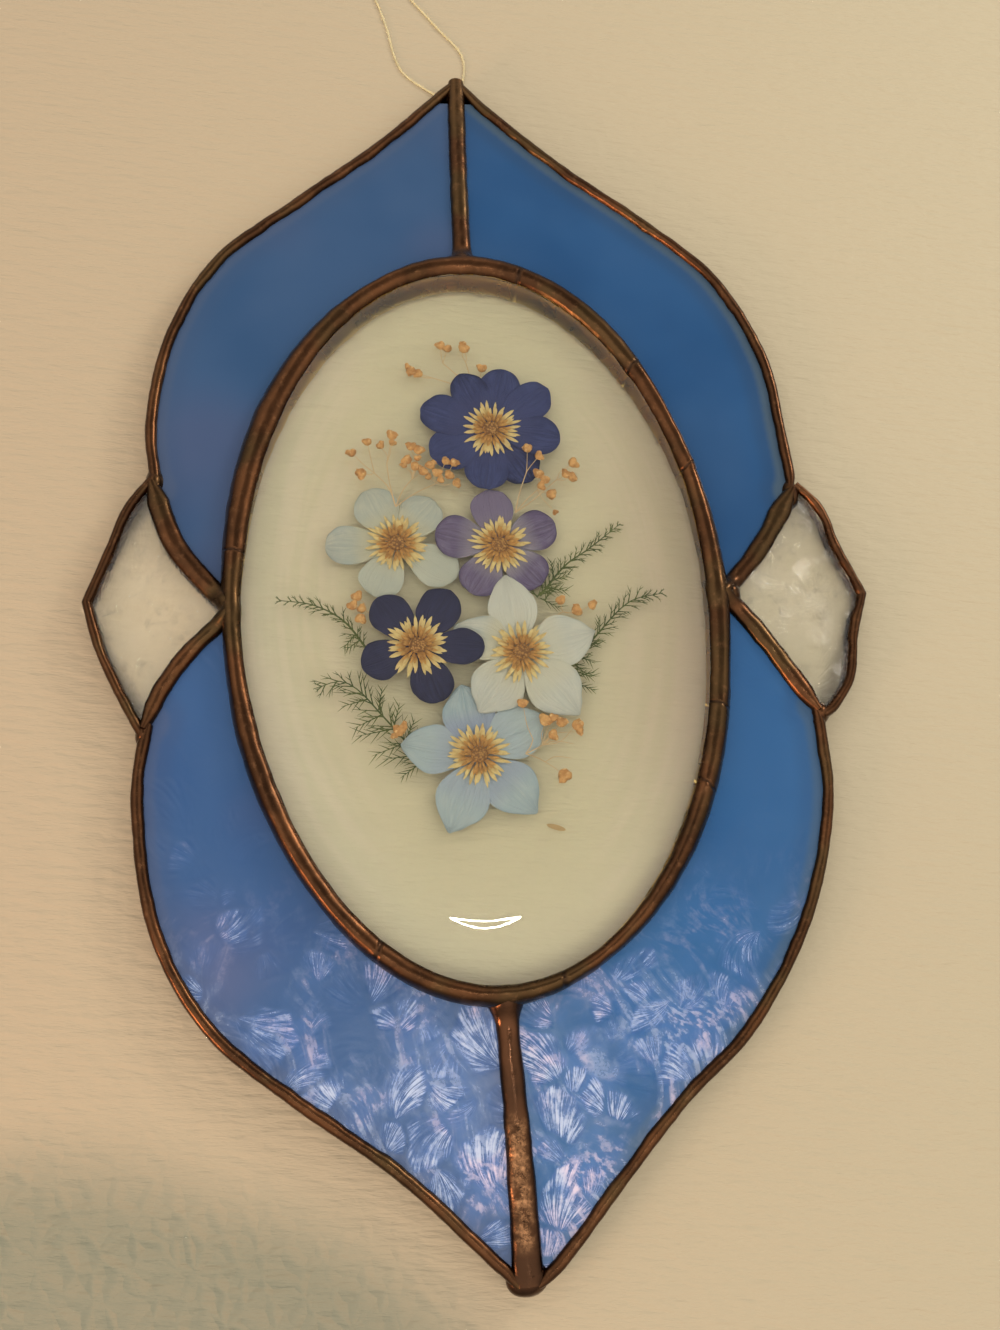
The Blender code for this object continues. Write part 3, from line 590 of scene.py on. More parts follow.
def widenRim(rim):
    # the rim's two sides bulge unevenly, and its back bead reaches further in at the top
    cx, cy = solder["rimMiddle"]
    hx, hy = solder["rimHalf"]
    centre = at(cx, cy)

    def read(listed, degrees):
        place = degrees / 15 % 24
        share = place % 1.0
        return listed[int(place)] * (1 - share) + listed[(int(place) + 1) % 24] * share

    for vert in rim.data.vertices:
        flat = Vector((vert.co.x - centre.x, vert.co.y - centre.y)) / mm
        turned = math.atan2(flat.y / hy, flat.x / hx)
        onRing = Vector((hx * math.cos(turned), hy * math.sin(turned)))
        offset = flat - onRing
        degrees = math.degrees(math.atan2(flat.y, flat.x)) % 360
        outward = offset.dot(onRing) > 0
        factor = read(solder["outerReach"] if outward else solder["innerReach"], degrees) / 1.7
        if not outward and vert.co.z < 0.0011:
            factor *= 1 + 0.9 * max(0.0, math.sin(turned)) ** 2
        if offset.length > 0.5:
            flat = onRing + offset * factor
            vert.co.x = centre.x + flat.x * mm
            vert.co.y = centre.y + flat.y * mm
    rim.data.update()


def makeSolder():
    patina = finishSolder("patinaSolder")
    rimPatina = finishSolder("rimSolder", solder["joints"])
    crust = finishCrust()
    count = round(solder["around"] / solder["bend"])
    cx, cy = solder["rimMiddle"]
    hx, hy = solder["rimHalf"]
    route = [at(cx + hx * math.cos(2 * math.pi * i / count), cy + hy * math.sin(2 * math.pi * i / count))
             for i in range(count)]
    widths = [1 + 0.06 * noise.noise(Vector((i / 5, 3, 1))) for i in range(count)]
    heights = [1 + 0.02 * math.sin(2 * math.pi * 7 * i / count) for i in range(count)]
    rim = drawBead("ovalRim", route, rimSection(), widths, heights, closed=True)
    swell(rim, solder["rimLumps"])
    widenRim(rim)
    keepSolder(rim, [rimPatina], "oval_rim")
    seams = {
        "topSeam": ("top_seam", 3.4, 1.4, 0.0), "bottomSeam": ("bottom_seam", 3.4, 1.4, 0.42),
        "upperLeftSeam": ("lozenge_seam_upper_left", 3.4, 1.3, 0.15),
        "lowerLeftSeam": ("lozenge_seam_lower_left", 2.9, 1.3, 0.0),
        "upperRightSeam": ("lozenge_seam_upper_right", 3.1, 1.3, 0.25),
        "lowerRightSeam": ("lozenge_seam_lower_right", 3.4, 1.3, 0.0),
    }
    for seed, (name, (node, width, crown, spread)) in enumerate(seams.items()):
        route = flatRoute(name)
        count = len(route)
        uneven = wander(count, 0.09, 5, 10.0 + seed)
        taper = [min(1.0, (0.45 if "lozenge" in node else 0.85) + 0.11 * i) for i in range(count)]
        most = 0.0 if "lozenge" in node else 1.1
        flare = [max(0.0, 1 - (count - 1 - i) * solder["bend"] / solder["flareFrom"]) for i in range(count)]
        widths = [uneven[i] * taper[i] * (1 + spread * (1 - i / count)) * (1 + most * flare[i] ** 1.6)
                  for i in range(count)]
        heights = [0.99 + 0.02 * noise.noise(Vector((i / 4, seed, 2))) for i in range(count)]
        seam = drawBead(name, route, seamSection(width, crown), widths, heights)
        tip = routes[name][0]
        swell(seam, [(*tip, 3.0, 0.05, 0.10), (*routes[name][-1], 4.2, 1.9, 0.0)])
        seam = withBlobs(seam, solder["blobs"][name])
        keepSolder(seam, [crust if name == "bottomSeam" else patina], node)
    edges = {
        "upperLeftEdge": ("edge_upper_left", 1), "upperRightEdge": ("edge_upper_right", -1),
        "lowerLeftEdge": ("edge_lower_left", 1), "lowerRightEdge": ("edge_lower_right", -1),
    }
    for seed, (name, (node, inward)) in enumerate(edges.items()):
        route = flatRoute(name)
        widths = wander(len(route), 0.13, 7, 30.0 + seed)
        widths = [wide * end for wide, end in zip(widths, ends(len(route), 3, 0.6))]
        edge = drawBead(name, route, edgeSection(inward), widths)
        keepSolder(edge, [patina], node)
    sides = {"leftSide": ("edge_side_left", 1), "rightSide": ("edge_side_right", -1)}
    for seed, (name, (node, inward)) in enumerate(sides.items()):
        route = flatRoute(name + "Upper") + flatRoute(name + "Lower")[1:]
        widths = [0.84 * wide for wide in wander(len(route), 0.2, 7, 40.0 + seed)]
        edge = drawBead(name, route, edgeSection(inward), widths)
        keepSolder(edge, [patina], node)
    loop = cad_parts["hanging_loop"]
    dress(loop, patina)
    print("solder")


makeSolder()


# Glass: each pane is cut into a fine grid, whose front takes the chipped relief

glass = {
    "grid": 0.9, "finer": 2, "front": 4.2,
    "ripple": 0.10, "rippleSpan": 9.0, "ridge": 0.10,
    "strokes": 15.0,  # strokes in one radian of a plume
    "plumes": 130, "border": 0.22, "apart": 7.3,  # how far the strokes of two plumes are set apart
    "batch": 30000, "edgeBatch": 4000,  # corners worked out at once
}

# The strong plumes: middle, direction in which they open, length, and brightness of the glints painted along them
plumes = {
    "blue_glass_lower_left": [(-31.6, -75.5, 40, 6, 0.6), (-16.6, -77.6, 75, 8, 0.9), (-10.4, -80.4, -50, 6, 0.9),
                              (-12.7, -85.4, 200, 7, 0.8), (-4.6, -90.6, 120, 9, 1.0), (-9.8, -94.5, -60, 7, 0.8),
                              (-18.6, -85.8, 60, 4, 0.7), (-20.4, -61.9, 65, 7, 0.5), (-15.4, -67.9, 50, 6, 0.6),
                              (-5.8, -72.6, 140, 8, 0.8), (-28.9, -58.9, 80, 5, 0.35), (-40.3, -52.9, 20, 9, 0.35),
                              (-3.8, -100.3, 10, 5, 0.7)],
    "blue_glass_lower_right": [(4.9, -74.9, 120, 8, 1.0), (8.0, -84.0, 80, 9, 1.0), (12.7, -81.9, 130, 6, 0.9),
                               (16.6, -82.5, 80, 6, 0.8), (7.0, -95.0, 80, 9, 1.0), (11.3, -94.1, 70, 5, 0.7),
                               (26.8, -76.6, 110, 9, 0.7), (5.3, -69.1, 160, 5, 0.6), (21.1, -65.8, 130, 6, 0.6),
                               (15.5, -68.4, 150, 5, 0.7), (34.6, -66.5, 100, 6, 0.4), (3.9, -102.4, 85, 5, 0.7),
                               (30.1, -75.6, 120, 6, 0.6), (22.9, -75.1, 100, 6, 0.5)],
}
paneTones = {
    "blue_glass_upper_left": {"veil": 0.0, "deep": (0.030, 0.094, 0.228), "light": (0.042, 0.108, 0.247), "haze": 0.8,
                              "paintedHazeTone": (0.073, 0.112, 0.236), "shade": (0.046, 0.096, 0.213), "band": 0.35,
                              "bandTone": (0.100, 0.136, 0.228)},
    "blue_glass_upper_right": {"veil": 0.0, "deep": (0.014, 0.086, 0.244), "light": (0.022, 0.104, 0.277), "haze": 0.3,
                               "paintedHazeTone": (0.041, 0.112, 0.252), "shade": (0.023, 0.060, 0.133), "band": 0.85,
                               "bandTone": (0.072, 0.124, 0.185)},
    "blue_glass_lower_left": {"veil": 0.85, "deep": (0.037, 0.114, 0.308), "light": (0.048, 0.131, 0.329), "haze": 0.9,
                              "paintedHazeTone": (0.110, 0.141, 0.301), "shade": (0.053, 0.099, 0.238), "band": 0.3,
                              "bandTone": (0.123, 0.144, 0.238)},
    "blue_glass_lower_right": {"veil": 0.9, "deep": (0.020, 0.124, 0.343), "light": (0.030, 0.146, 0.376), "haze": 0.3,
                               "paintedHazeTone": (0.054, 0.143, 0.330), "shade": (0.027, 0.092, 0.238), "band": 0.6,
                               "bandTone": (0.072, 0.136, 0.224)},
}
# Each pane: where its chips, and the glints painted on them, are strong (y of full strength, y of none) and how strong
# they get
paneChipsAndGlints = {
    "blue_glass_upper_left": (30, 80, 0.05), "blue_glass_upper_right": (30, 90, 0.07),
    "blue_glass_lower_left": (-80, -32, 0.85), "blue_glass_lower_right": (-80, -32, 0.85),
    "clear_lozenge_left": (40, 60, 0.5), "clear_lozenge_right": (40, 60, 0.5),
}

# The outer edges that each pane lies along
paneOuter = {
    "blue_glass_upper_left": ["upperLeftEdge"], "blue_glass_upper_right": ["upperRightEdge"],
    "blue_glass_lower_left": ["lowerLeftEdge"], "blue_glass_lower_right": ["lowerRightEdge"],
    "clear_lozenge_left": ["leftSideUpper", "leftSideLower"],
    "clear_lozenge_right": ["rightSideUpper", "rightSideLower"],
}


def cutPane(node, name):
    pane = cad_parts[node].copy()
    pane.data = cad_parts[node].data.copy()
    pane.parent = None
    pane.matrix_world = Matrix.Identity(4)
    bpy.context.collection.objects.link(pane)
    pane.name = name
    pane.data.name = name
    edit(pane)
    bpy.ops.mesh.select_all(action="SELECT")
    bpy.ops.mesh.remove_doubles(threshold=0.00001)
    bpy.ops.mesh.dissolve_limited(angle_limit=0.02)
    xs = [vert.co.x for vert in pane.data.vertices]
    ys = [vert.co.y for vert in pane.data.vertices]
    step = glass["grid"] * mm
    for axis, low, high in ((0, min(xs), max(xs)), (1, min(ys), max(ys))):
        place = low + step
        while place < high - step * 0.4:
            point = [0, 0, 0]
            normal = [0, 0, 0]
            point[axis] = place
            normal[axis] = 1
            bpy.ops.mesh.select_all(action="SELECT")
            bpy.ops.mesh.bisect(plane_co=point, plane_no=normal)
            place += step
    front = glass["front"] * mm
    pick(pane, lambda face: min(v.co.z for v in face.verts) > front - hair, "faces")
    bpy.ops.mesh.subdivide(number_cuts=glass["finer"])
    leaveEdit()
    return pane


def layPlumes(pane, node, seed):
    # every point of the front belongs to its nearest plume, and is ridged along that plume's strokes
    rnd = random.Random(seed)
    mesh = pane.data
    count = len(mesh.vertices)
    spots = np.empty(count * 3)
    mesh.vertices.foreach_get("co", spots)
    spots = spots.reshape(-1, 3)
    low = spots.min(axis=0) / mm
    high = spots.max(axis=0) / mm
    full, none, most = paneChipsAndGlints[node]
    listed = []
    for x, y, direction, length, bright in plumes.get(node, []):
        place = at(x, y) / mm
        listed.append((place.x, place.y, direction, length, bright, rnd.uniform(-0.08, 0.08)))
    while len(listed) < glass["plumes"]:
        x = rnd.uniform(low[0], high[0])
        y = rnd.uniform(low[1], high[1])
        direction = rnd.uniform(0, 360)
        length = rnd.uniform(4.0, 8.0)
        share = min(1.0, max(0.0, (none - y) / (none - full)))
        bright = most * share * rnd.random() ** (2.4 - 1.2 * share)
        bend = rnd.uniform(-0.14, 0.14)
        if all(math.hypot(x - p[0], y - p[1]) > 0.5 * p[3] for p in listed):
            listed.append((x, y, direction, length, bright, bend))
        elif rnd.random() < 0.02:
            listed.append((x, y, direction, length * 0.6, bright, bend))
    centres = np.array([(p[0], p[1]) for p in listed])
    sizes = np.array([p[3] for p in listed])
    heading = np.radians([p[2] for p in listed])
    brights = np.array([p[4] for p in listed])
    bends = np.array([p[5] for p in listed])
    roots = centres - np.stack([np.cos(heading), np.sin(heading)], 1) * sizes[:, None] * 0.75

    def readPlume(points, own=None):
        away = np.hypot(points[:, None, 0] - centres[:, 0], points[:, None, 1] - centres[:, 1]) / sizes
        own = away.argmin(axis=1) if own is None else own
        rows = np.arange(len(points))
        mine = away[rows, own]
        away[rows, own] = 99
        border = np.clip((away.min(axis=1) - mine) / glass["border"], 0, 1)
        reach = points - roots[own]
        radius = np.hypot(reach[:, 0], reach[:, 1])
        angle = np.arctan2(reach[:, 1], reach[:, 0]) - heading[own]
        angle = (angle + np.pi) % (2 * np.pi) - np.pi + bends[own] * radius
        fan = np.clip(1.3 - np.abs(angle), 0, 1)
        return own, radius, angle, border * fan * np.clip(1.3 - mine, 0, 1) ** 0.5

    faces = len(mesh.polygons)
    centresOf = np.empty(faces * 3)
    mesh.polygons.foreach_get("center", centresOf)
    owner = readPlume(centresOf.reshape(-1, 3)[:, :2] / mm)[0]
    loopFace = np.repeat(np.arange(faces), [poly.loop_total for poly in mesh.polygons])
    loopVert = np.empty(len(mesh.loops), dtype=int)
    mesh.loops.foreach_get("vertex_index", loopVert)
    own = owner[loopFace]
    corner = spots[loopVert][:, :2] / mm
    batch = glass["batch"]
    read = [readPlume(corner[i:i + batch], own[i:i + batch])[1:] for i in range(0, len(corner), batch)]
    radius, angle, fade = (np.concatenate(part) for part in zip(*read))
    strokes = mesh.uv_layers.get("strokes") or mesh.uv_layers.new(name="strokes")
    values = np.stack([angle * glass["strokes"] + own * glass["apart"], radius], 1)
    strokes.data.foreach_set("uv", values.astype(np.float32).ravel())
    # each plume's brightness, which sets the painted glints on its strokes
    frost = mesh.uv_layers.new(name="frost")
    values = np.stack([brights[own] * fade, (own * 0.37) % 1.0], 1)
    frost.data.foreach_set("uv", values.astype(np.float32).ravel())
    outer = np.array([at(p.x, p.y).xy / mm for name in paneOuter[node]
                      for p in smoothRoute(routes[name], 60)])
    nearEdge = np.empty(len(corner))
    batch = glass["edgeBatch"]
    for first in range(0, len(corner), batch):
        gap = corner[first:first + batch, None, :] - outer[None]
        nearEdge[first:first + batch] = np.sqrt((gap ** 2).sum(axis=2).min(axis=1))
    layer = mesh.uv_layers.new(name="outer")
    layer.data.foreach_set("uv", np.stack([nearEdge, nearEdge * 0], 1).astype(np.float32).ravel())
    nearest, radius, angle, strength = readPlume(spots[:, :2] / mm)
    front = glass["front"] * mm - hair
    lifted = np.zeros(count)
    for i in range(count):
        if spots[i, 2] > front:
            u = angle[i] * glass["strokes"] + nearest[i] * glass["apart"]
            ridge = noise.noise(Vector((u, radius[i] * 0.25, nearest[i])))
            ripple = noise.noise(Vector((spots[i, 0], spots[i, 1], 0)) / mm / glass["rippleSpan"])
            strong = strength[i] * (0.25 + brights[nearest[i]]) * most * 1.6
            lifted[i] = glass["ripple"] * ripple - glass["ridge"] * strong * (0.5 + ridge)
    spots[:, 2] += lifted * mm
    mesh.vertices.foreach_set("co", spots.ravel())
    mesh.update()


def finishBlue(node):
    tones = paneTones[node]
    finish = Finish(titled(node), IOR=1.52, Transmission_Weight=0.45, Specular_IOR_Level=0.08)
    strokes = finish.uvPlace("strokes")
    frost = finish.uvPlace("frost")
    bright = finish.split(frost, "X")
    cell = finish.split(frost, "Y") * 20
    u = finish.split(strokes, "X")
    v = finish.split(strokes, "Y")
    lines = finish.noise(1.0, 3.0, finish.together(u * 1.5, v * 0.22, cell), 0.65)
    breaks = finish.noise(1.0, 2.0, finish.together(u * 0.10, v * 0.26, cell), 0.5)
    ribs = finish.noise(1.0, 2.0, finish.together(u * 0.5, v * 0.35, cell), 0.5).between(0.36, 0.60)
    glints = finish.noise(1100, 2, roughness=0.7).between(0.36, 0.62)
    fine = lines.between(0.40, 0.62)
    energy = bright * (0.35 + 0.65 * breaks.between(0.34, 0.56))
    # painted glints: the strokes turn white-lilac where a lamp's reflection catches the chips
    paintedGlint = (energy * (0.22 + 0.78 * fine) * (0.5 + 0.5 * ribs) * (0.6 + 0.4 * glints)).between(0.03, 0.66)
    # painted sheen: fine light hairs that flow on between the plumes, in a cloudy veil that grows towards the bottom of
    # the lower panes
    place = finish.objectPlace()
    x = finish.split(place, "X")
    y = finish.split(place, "Y")
    flow = finish.noise(48, 1, output="Color")
    stream = finish.together(x * 620 + y * 260 + 16 * finish.split(flow, "X"),
                             y * 210 - x * 150 + 10 * finish.split(flow, "Y"))
    hairs = finish.noise(1.0, 2, stream, 0.65).between(0.44, 0.64)
    veil = finish.noise(75, 3, roughness=0.6).between(0.40, 0.62) * y.between(-0.042, -0.082) * tones["veil"]
    paintedGlint = paintedGlint.math("MAXIMUM", paintedGlint, veil * hairs * (0.35 + 0.65 * glints) * 0.75)
    # painted sheen: the blue lightened where the glints and the veil are
    paintedSheen = (energy.between(0.02, 0.55) * (0.5 + 0.5 * ribs) + veil * 0.55).upTo(1.0) * 0.6
    # painted shade: the blue darker in the gaps between the glint strokes
    paintedGapShade = (1 - fine) * energy.between(0.02, 0.40) * 0.45
    depth = finish.noise(45, 2).between(0.35, 0.65)
    blue = finish.blend(depth, tones["deep"], tones["light"])
    # painted haze of flare: greyer, lighter patches over the blue
    haze = finish.noise(26, 1).between(0.42, 0.62) * tones["haze"]
    blue = finish.blend(haze, blue, tones["paintedHazeTone"])
    outer = finish.split(finish.uvPlace("outer"), "X")
    # painted shade a few millimetres inside the outer edge
    blue = finish.blend(outer.between(7.5, 4.5) * 0.35, blue, tones["shade"])
    blue = finish.blend(outer.between(4.4, 3.0) * tones["band"], blue, tones["bandTone"])
    blue = finish.blend(paintedSheen, blue, (0.15, 0.32, 0.80))
    blue = finish.blend(paintedGapShade, blue, (0.020, 0.070, 0.22))
    # colour of the painted glints
    glintLilac = finish.blend(finish.noise(150, 1).between(0.45, 0.62), (0.66, 0.76, 1.0), (0.92, 0.80, 1.0))
    finish.set(Base_Color=finish.blend(paintedGlint, blue, glintLilac))
    finish.set(Roughness=0.24 + 0.2 * paintedGlint)
    finish.set(Normal=finish.bump(lines * bright, 0.00012, 0.6))
    return finish


def finishLozenge():
    finish = Finish("clearChipGlass", IOR=1.5, Transmission_Weight=1.0)
    strokes = finish.uvPlace("strokes")
    frost = finish.uvPlace("frost")
    bright = finish.split(frost, "X")
    u = finish.split(strokes, "X")
    v = finish.split(strokes, "Y")
    lines = finish.noise(1.0, 2.5, finish.together(u * 1.6, v * 0.15, finish.split(frost, "Y") * 20), 0.55)
    stroke = lines.between(0.54, 0.68) * bright
    finish.set(Base_Color=finish.blend(stroke, (0.95, 0.945, 0.915), (1.0, 1.0, 1.0)))
    finish.set(Roughness=0.04 + 0.3 * stroke)
    finish.set(Normal=finish.bump(lines, 0.00014, 0.8))
    return finish


def makeGlass():
    clear = finishLozenge()
    for seed, node in enumerate(paneChipsAndGlints):
        words = node.split("_")
        name = words[0] + "".join(word.capitalize() for word in words[1:])
        pane = cutPane(node, name)
        layPlumes(pane, node, seed)
        smooth(pane, 35)
        dress(pane, clear if "lozenge" in node else finishBlue(node))
        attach(pane, "root")
        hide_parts(node)
        print(name, len(pane.data.polygons))


makeGlass()


# Clear oval: one domed piece over and under the flowers

oval = {
    "middle": (-0.9, 0.3), "half": (41.4, 65.0), "back": 1.2, "edge": 6.2, "rise": 2.25,
    "rings": [0.99, 0.98, 0.965, 0.945, 0.92, 0.88, 0.83, 0.77, 0.70, 0.60, 0.48, 0.34, 0.2, 0.08],
}


def domeHeight(share):
    return (1 - share ** 2.6) ** 0.85


def makeOval():
    cx, cy = oval["middle"]
    hx, hy = oval["half"]
    centre = at(cx, cy)
    deselectAll()
    bpy.ops.mesh.primitive_cylinder_add(vertices=192, radius=1, depth=1, end_fill_type="NGON")
    dome = takeNew("clearOval")
    height = oval["edge"] - oval["back"]
    dome.scale = (hx * mm, hy * mm, height * mm)
    dome.location = (centre.x, centre.y, (oval["back"] + height / 2) * mm)
    bpy.ops.object.transform_apply(location=True, rotation=False, scale=True)
    edit(dome)
    edge = oval["edge"] * mm
    pick(dome, lambda face: face.calc_center_median().z > edge - hair, "faces")
    wide = hx
    for share in oval["rings"]:
        target = hx * share
        bpy.ops.mesh.extrude_region_move(TRANSFORM_OT_translate={"value": (0, 0, 0)})
        shrink = target / wide
        bpy.ops.transform.resize(value=(shrink, shrink, 1), center_override=(centre.x, centre.y, edge))
        wide = target
        mesh = bmesh.from_edit_mesh(dome.data)
        level = edge + oval["rise"] * mm * domeHeight(share)
        for vert in mesh.verts:
            if vert.select:
                vert.co.z = level
        bmesh.update_edit_mesh(dome.data)
    bpy.ops.mesh.select_all(action="SELECT")
    bpy.ops.mesh.normals_make_consistent(inside=False)
    leaveEdit()
    smooth(dome, 30)
    resin = Finish("clearResin", IOR=1.5, Transmission_Weight=1.0, Roughness=0.0, Specular_IOR_Level=0.5)
    place = resin.objectPlace()
    across = (resin.split(place, "X") - centre.x) * (1000 / hx)
    along = (resin.split(place, "Y") - centre.y) * (1000 / hy)
    ring = (across * across + along * along) ** 0.5
    around = resin.math("ARCTAN2", along, across)
    # painted caustic light: faint lighter concentric bands towards the dome's sides, where light focused by its edge
    # falls
    rings = resin.noise(1.0, 2, resin.together(ring * 24.0, around * 1.6), 0.5).between(0.42, 0.62)
    rings = rings * ring.between(0.50, 0.66) * resin.math("ABSOLUTE", across).between(0.30, 0.6)
    tint = resin.blend(resin.noise(20, 2), (0.965, 0.985, 0.94), (0.955, 0.975, 0.93))
    resin.set(Base_Color=resin.blend(rings, tint, (1.0, 1.0, 0.99)))
    waves = resin.noise(55, 2)
    resin.set(Normal=resin.bump(waves, 0.00004, 0.4))
    foil = Finish("foilBack", Metallic=1.0)
    glint = foil.noise(160, 3).between(0.40, 0.62)
    foil.set(Base_Color=foil.blend(glint, (0.36, 0.25, 0.09), (0.52, 0.36, 0.13)))
    foil.set(Roughness=0.30 + 0.2 * foil.noise(400, 2))
    foil.set(Normal=foil.bump(foil.noise(350, 3), 0.0001, 0.6))
    dress(dome, resin, foil)
    for face in dome.data.polygons:
        face.material_index = 1 if abs(face.normal.z) < 0.2 else 0
    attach(dome, "root")
    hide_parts("clear_oval_back", "clear_oval_front")
    print("oval")


makeOval()


# Blossoms: each has a whorl of petals and a disc of florets

layers = {"first": 2.5, "step": 0.55}

blossoms = {
    "dark_blue": {"middle": (2.6, 32.4), "layer": 2, "tip": "round",
                  "fold": 0.05, "ragged": 0.0, "finish": "darkBluePetal",
                  "petals": [(115, 12.2, 7.2), (76, 12.6, 7.6), (37, 13.7, 7.6), (-8, 12.8, 7.8), (-56, 12.2, 7.8),
                             (-98, 11.8, 8.2), (207, 12.3, 8.4), (161, 13.2, 8.0)]},
    "purple": {"middle": (3.0, 10.3), "layer": 1, "tip": "round",
               "fold": 0.05, "ragged": 0.0, "finish": "purplePetal",
               "petals": [(98, 10.7, 7.6), (22, 10.9, 7.6), (-46, 10.3, 7.4), (238, 10.4, 7.6), (167, 11.6, 7.8)]},
    "white_left": {"middle": (-14.9, 11.0), "layer": 0, "tip": "round",
                   "fold": 0.05, "ragged": 0.1, "finish": "sheerPetal",
                   "petals": [(181, 12.3, 7.4), (117, 11.2, 7.8), (50, 10.6, 7.6), (-32, 12.1, 7.6),
                              (247, 10.5, 7.8)]},
    "navy": {"middle": (-12.1, -7.9), "layer": 3, "tip": "round",
             "fold": 0.03, "ragged": 0.22, "finish": "navyPetal",
             "petals": [(127, 10.9, 7.4), (58, 11.5, 7.6), (-2, 11.6, 6.6), (-70, 10.5, 7.4), (201, 10.0, 7.2)]},
    "white_right": {"middle": (5.6, -9.3), "layer": 2, "tip": "pointed",
                    "fold": 0.34, "ragged": 0.12, "finish": "whitePetal",
                    "petals": [(98, 14.4, 8.8), (15, 13.6, 9.6), (-50, 14.6, 9.8), (233, 13.0, 9.4),
                               (157, 12.4, 8.0)]},
    "pale_blue": {"middle": (-2.5, -26.8), "layer": 1, "tip": "pointed",
                  "fold": 0.34, "ragged": 0.14, "finish": "paleBluePetal",
                  "petals": [(170, 13.2, 8.6), (101, 12.6, 9.0), (30, 13.0, 9.2), (-47, 13.6, 9.0),
                             (247, 13.9, 9.2)]},
}

# Each petal colour: body, second tone, margin, colour at the foot, and how see-through it is
petalTones = {
    "darkBluePetal": ((0.009, 0.015, 0.078), (0.050, 0.068, 0.20), (0.005, 0.008, 0.045), (0.040, 0.048, 0.14), 1.0),
    "purplePetal": ((0.125, 0.098, 0.205), (0.20, 0.170, 0.27), (0.075, 0.054, 0.12), (0.27, 0.25, 0.31), 1.0),
    "navyPetal": ((0.012, 0.013, 0.048), (0.030, 0.034, 0.092), (0.007, 0.006, 0.024), (0.03, 0.030, 0.080), 1.0),
    "whitePetal": ((0.56, 0.61, 0.57), (0.70, 0.72, 0.64), (0.44, 0.50, 0.47), (0.66, 0.65, 0.50), 0.86),
    "sheerPetal": ((0.52, 0.58, 0.53), (0.64, 0.68, 0.58), (0.46, 0.53, 0.50), (0.66, 0.66, 0.50), 0.74),
    "paleBluePetal": ((0.33, 0.45, 0.52), (0.46, 0.56, 0.58), (0.25, 0.37, 0.46), (0.28, 0.34, 0.52), 0.94),
}

petalForms = {"round": {"widest": 1.75, "fullness": 0.52}, "pointed": {"widest": 1.2, "fullness": 0.95}}


def finishPetal(name):
    body, second, margin, foot, solid = petalTones[name]
    finish = Finish(name, Roughness=0.62, Specular_IOR_Level=0.3, IOR=1.4, Alpha=solid)
    flat = finish.uvPlace("UVMap")
    u = finish.split(flat, "X")
    v = finish.split(flat, "Y")
    side = finish.math("ABSOLUTE", u - 0.5) * 2.0
    mottle = finish.noise(420, 4, roughness=0.65)
    tone = finish.blend(mottle.between(0.35, 0.68), body, second)
    fan = finish.noise(1.0, 2, finish.together(u * 26.0, v * 1.6, 0.0), 0.6)
    heart = side.between(0.95, 0.1) * v.between(0.25, 0.55) * v.between(1.0, 0.72)
    tone = finish.blend(heart * 0.4, tone, second)
    tone = finish.blend(fan.between(0.46, 0.66) * 0.65, tone, margin)
    tone = finish.blend(side.between(0.72, 1.0) * 0.85, tone, margin)
    # painted shade along the petal's middle crease and two slanting fold lines
    creaseShade = finish.math("ABSOLUTE", side - 0.42 * v).between(0.09, 0.0) + side.between(0.10, 0.0)
    tone = finish.blend(creaseShade * v.between(0.2, 0.5) * 0.4, tone, margin)
    tone = finish.blend(v.between(0.58, 0.32), tone, foot)
    own = finish.split(finish.uvPlace("own"), "X")
    finish.set(Base_Color=finish.blend(own * 0.85, tone, second))
    grain = finish.bump(finish.noise(1500, 3), 0.00003, 0.7)
    finish.set(Normal=finish.bump(fan, 0.00022, 0.9, grain))
    return finish


def petalBlank(tip):
    form = petalForms[tip]
    deselectAll()
    bpy.ops.mesh.primitive_grid_add(x_subdivisions=12, y_subdivisions=16, size=1)
    blank = takeNew("petalBlank_" + tip)

    def rule(co):
        along = 1 - (0.5 - co.y) ** 1.35
        half = math.sin(math.pi * min(1.0, along) ** form["widest"])
        half = max(half, 0.0) ** form["fullness"]
        return Vector((co.x * half, along, 0))

    shapeVerts(blank, rule)
    return blank


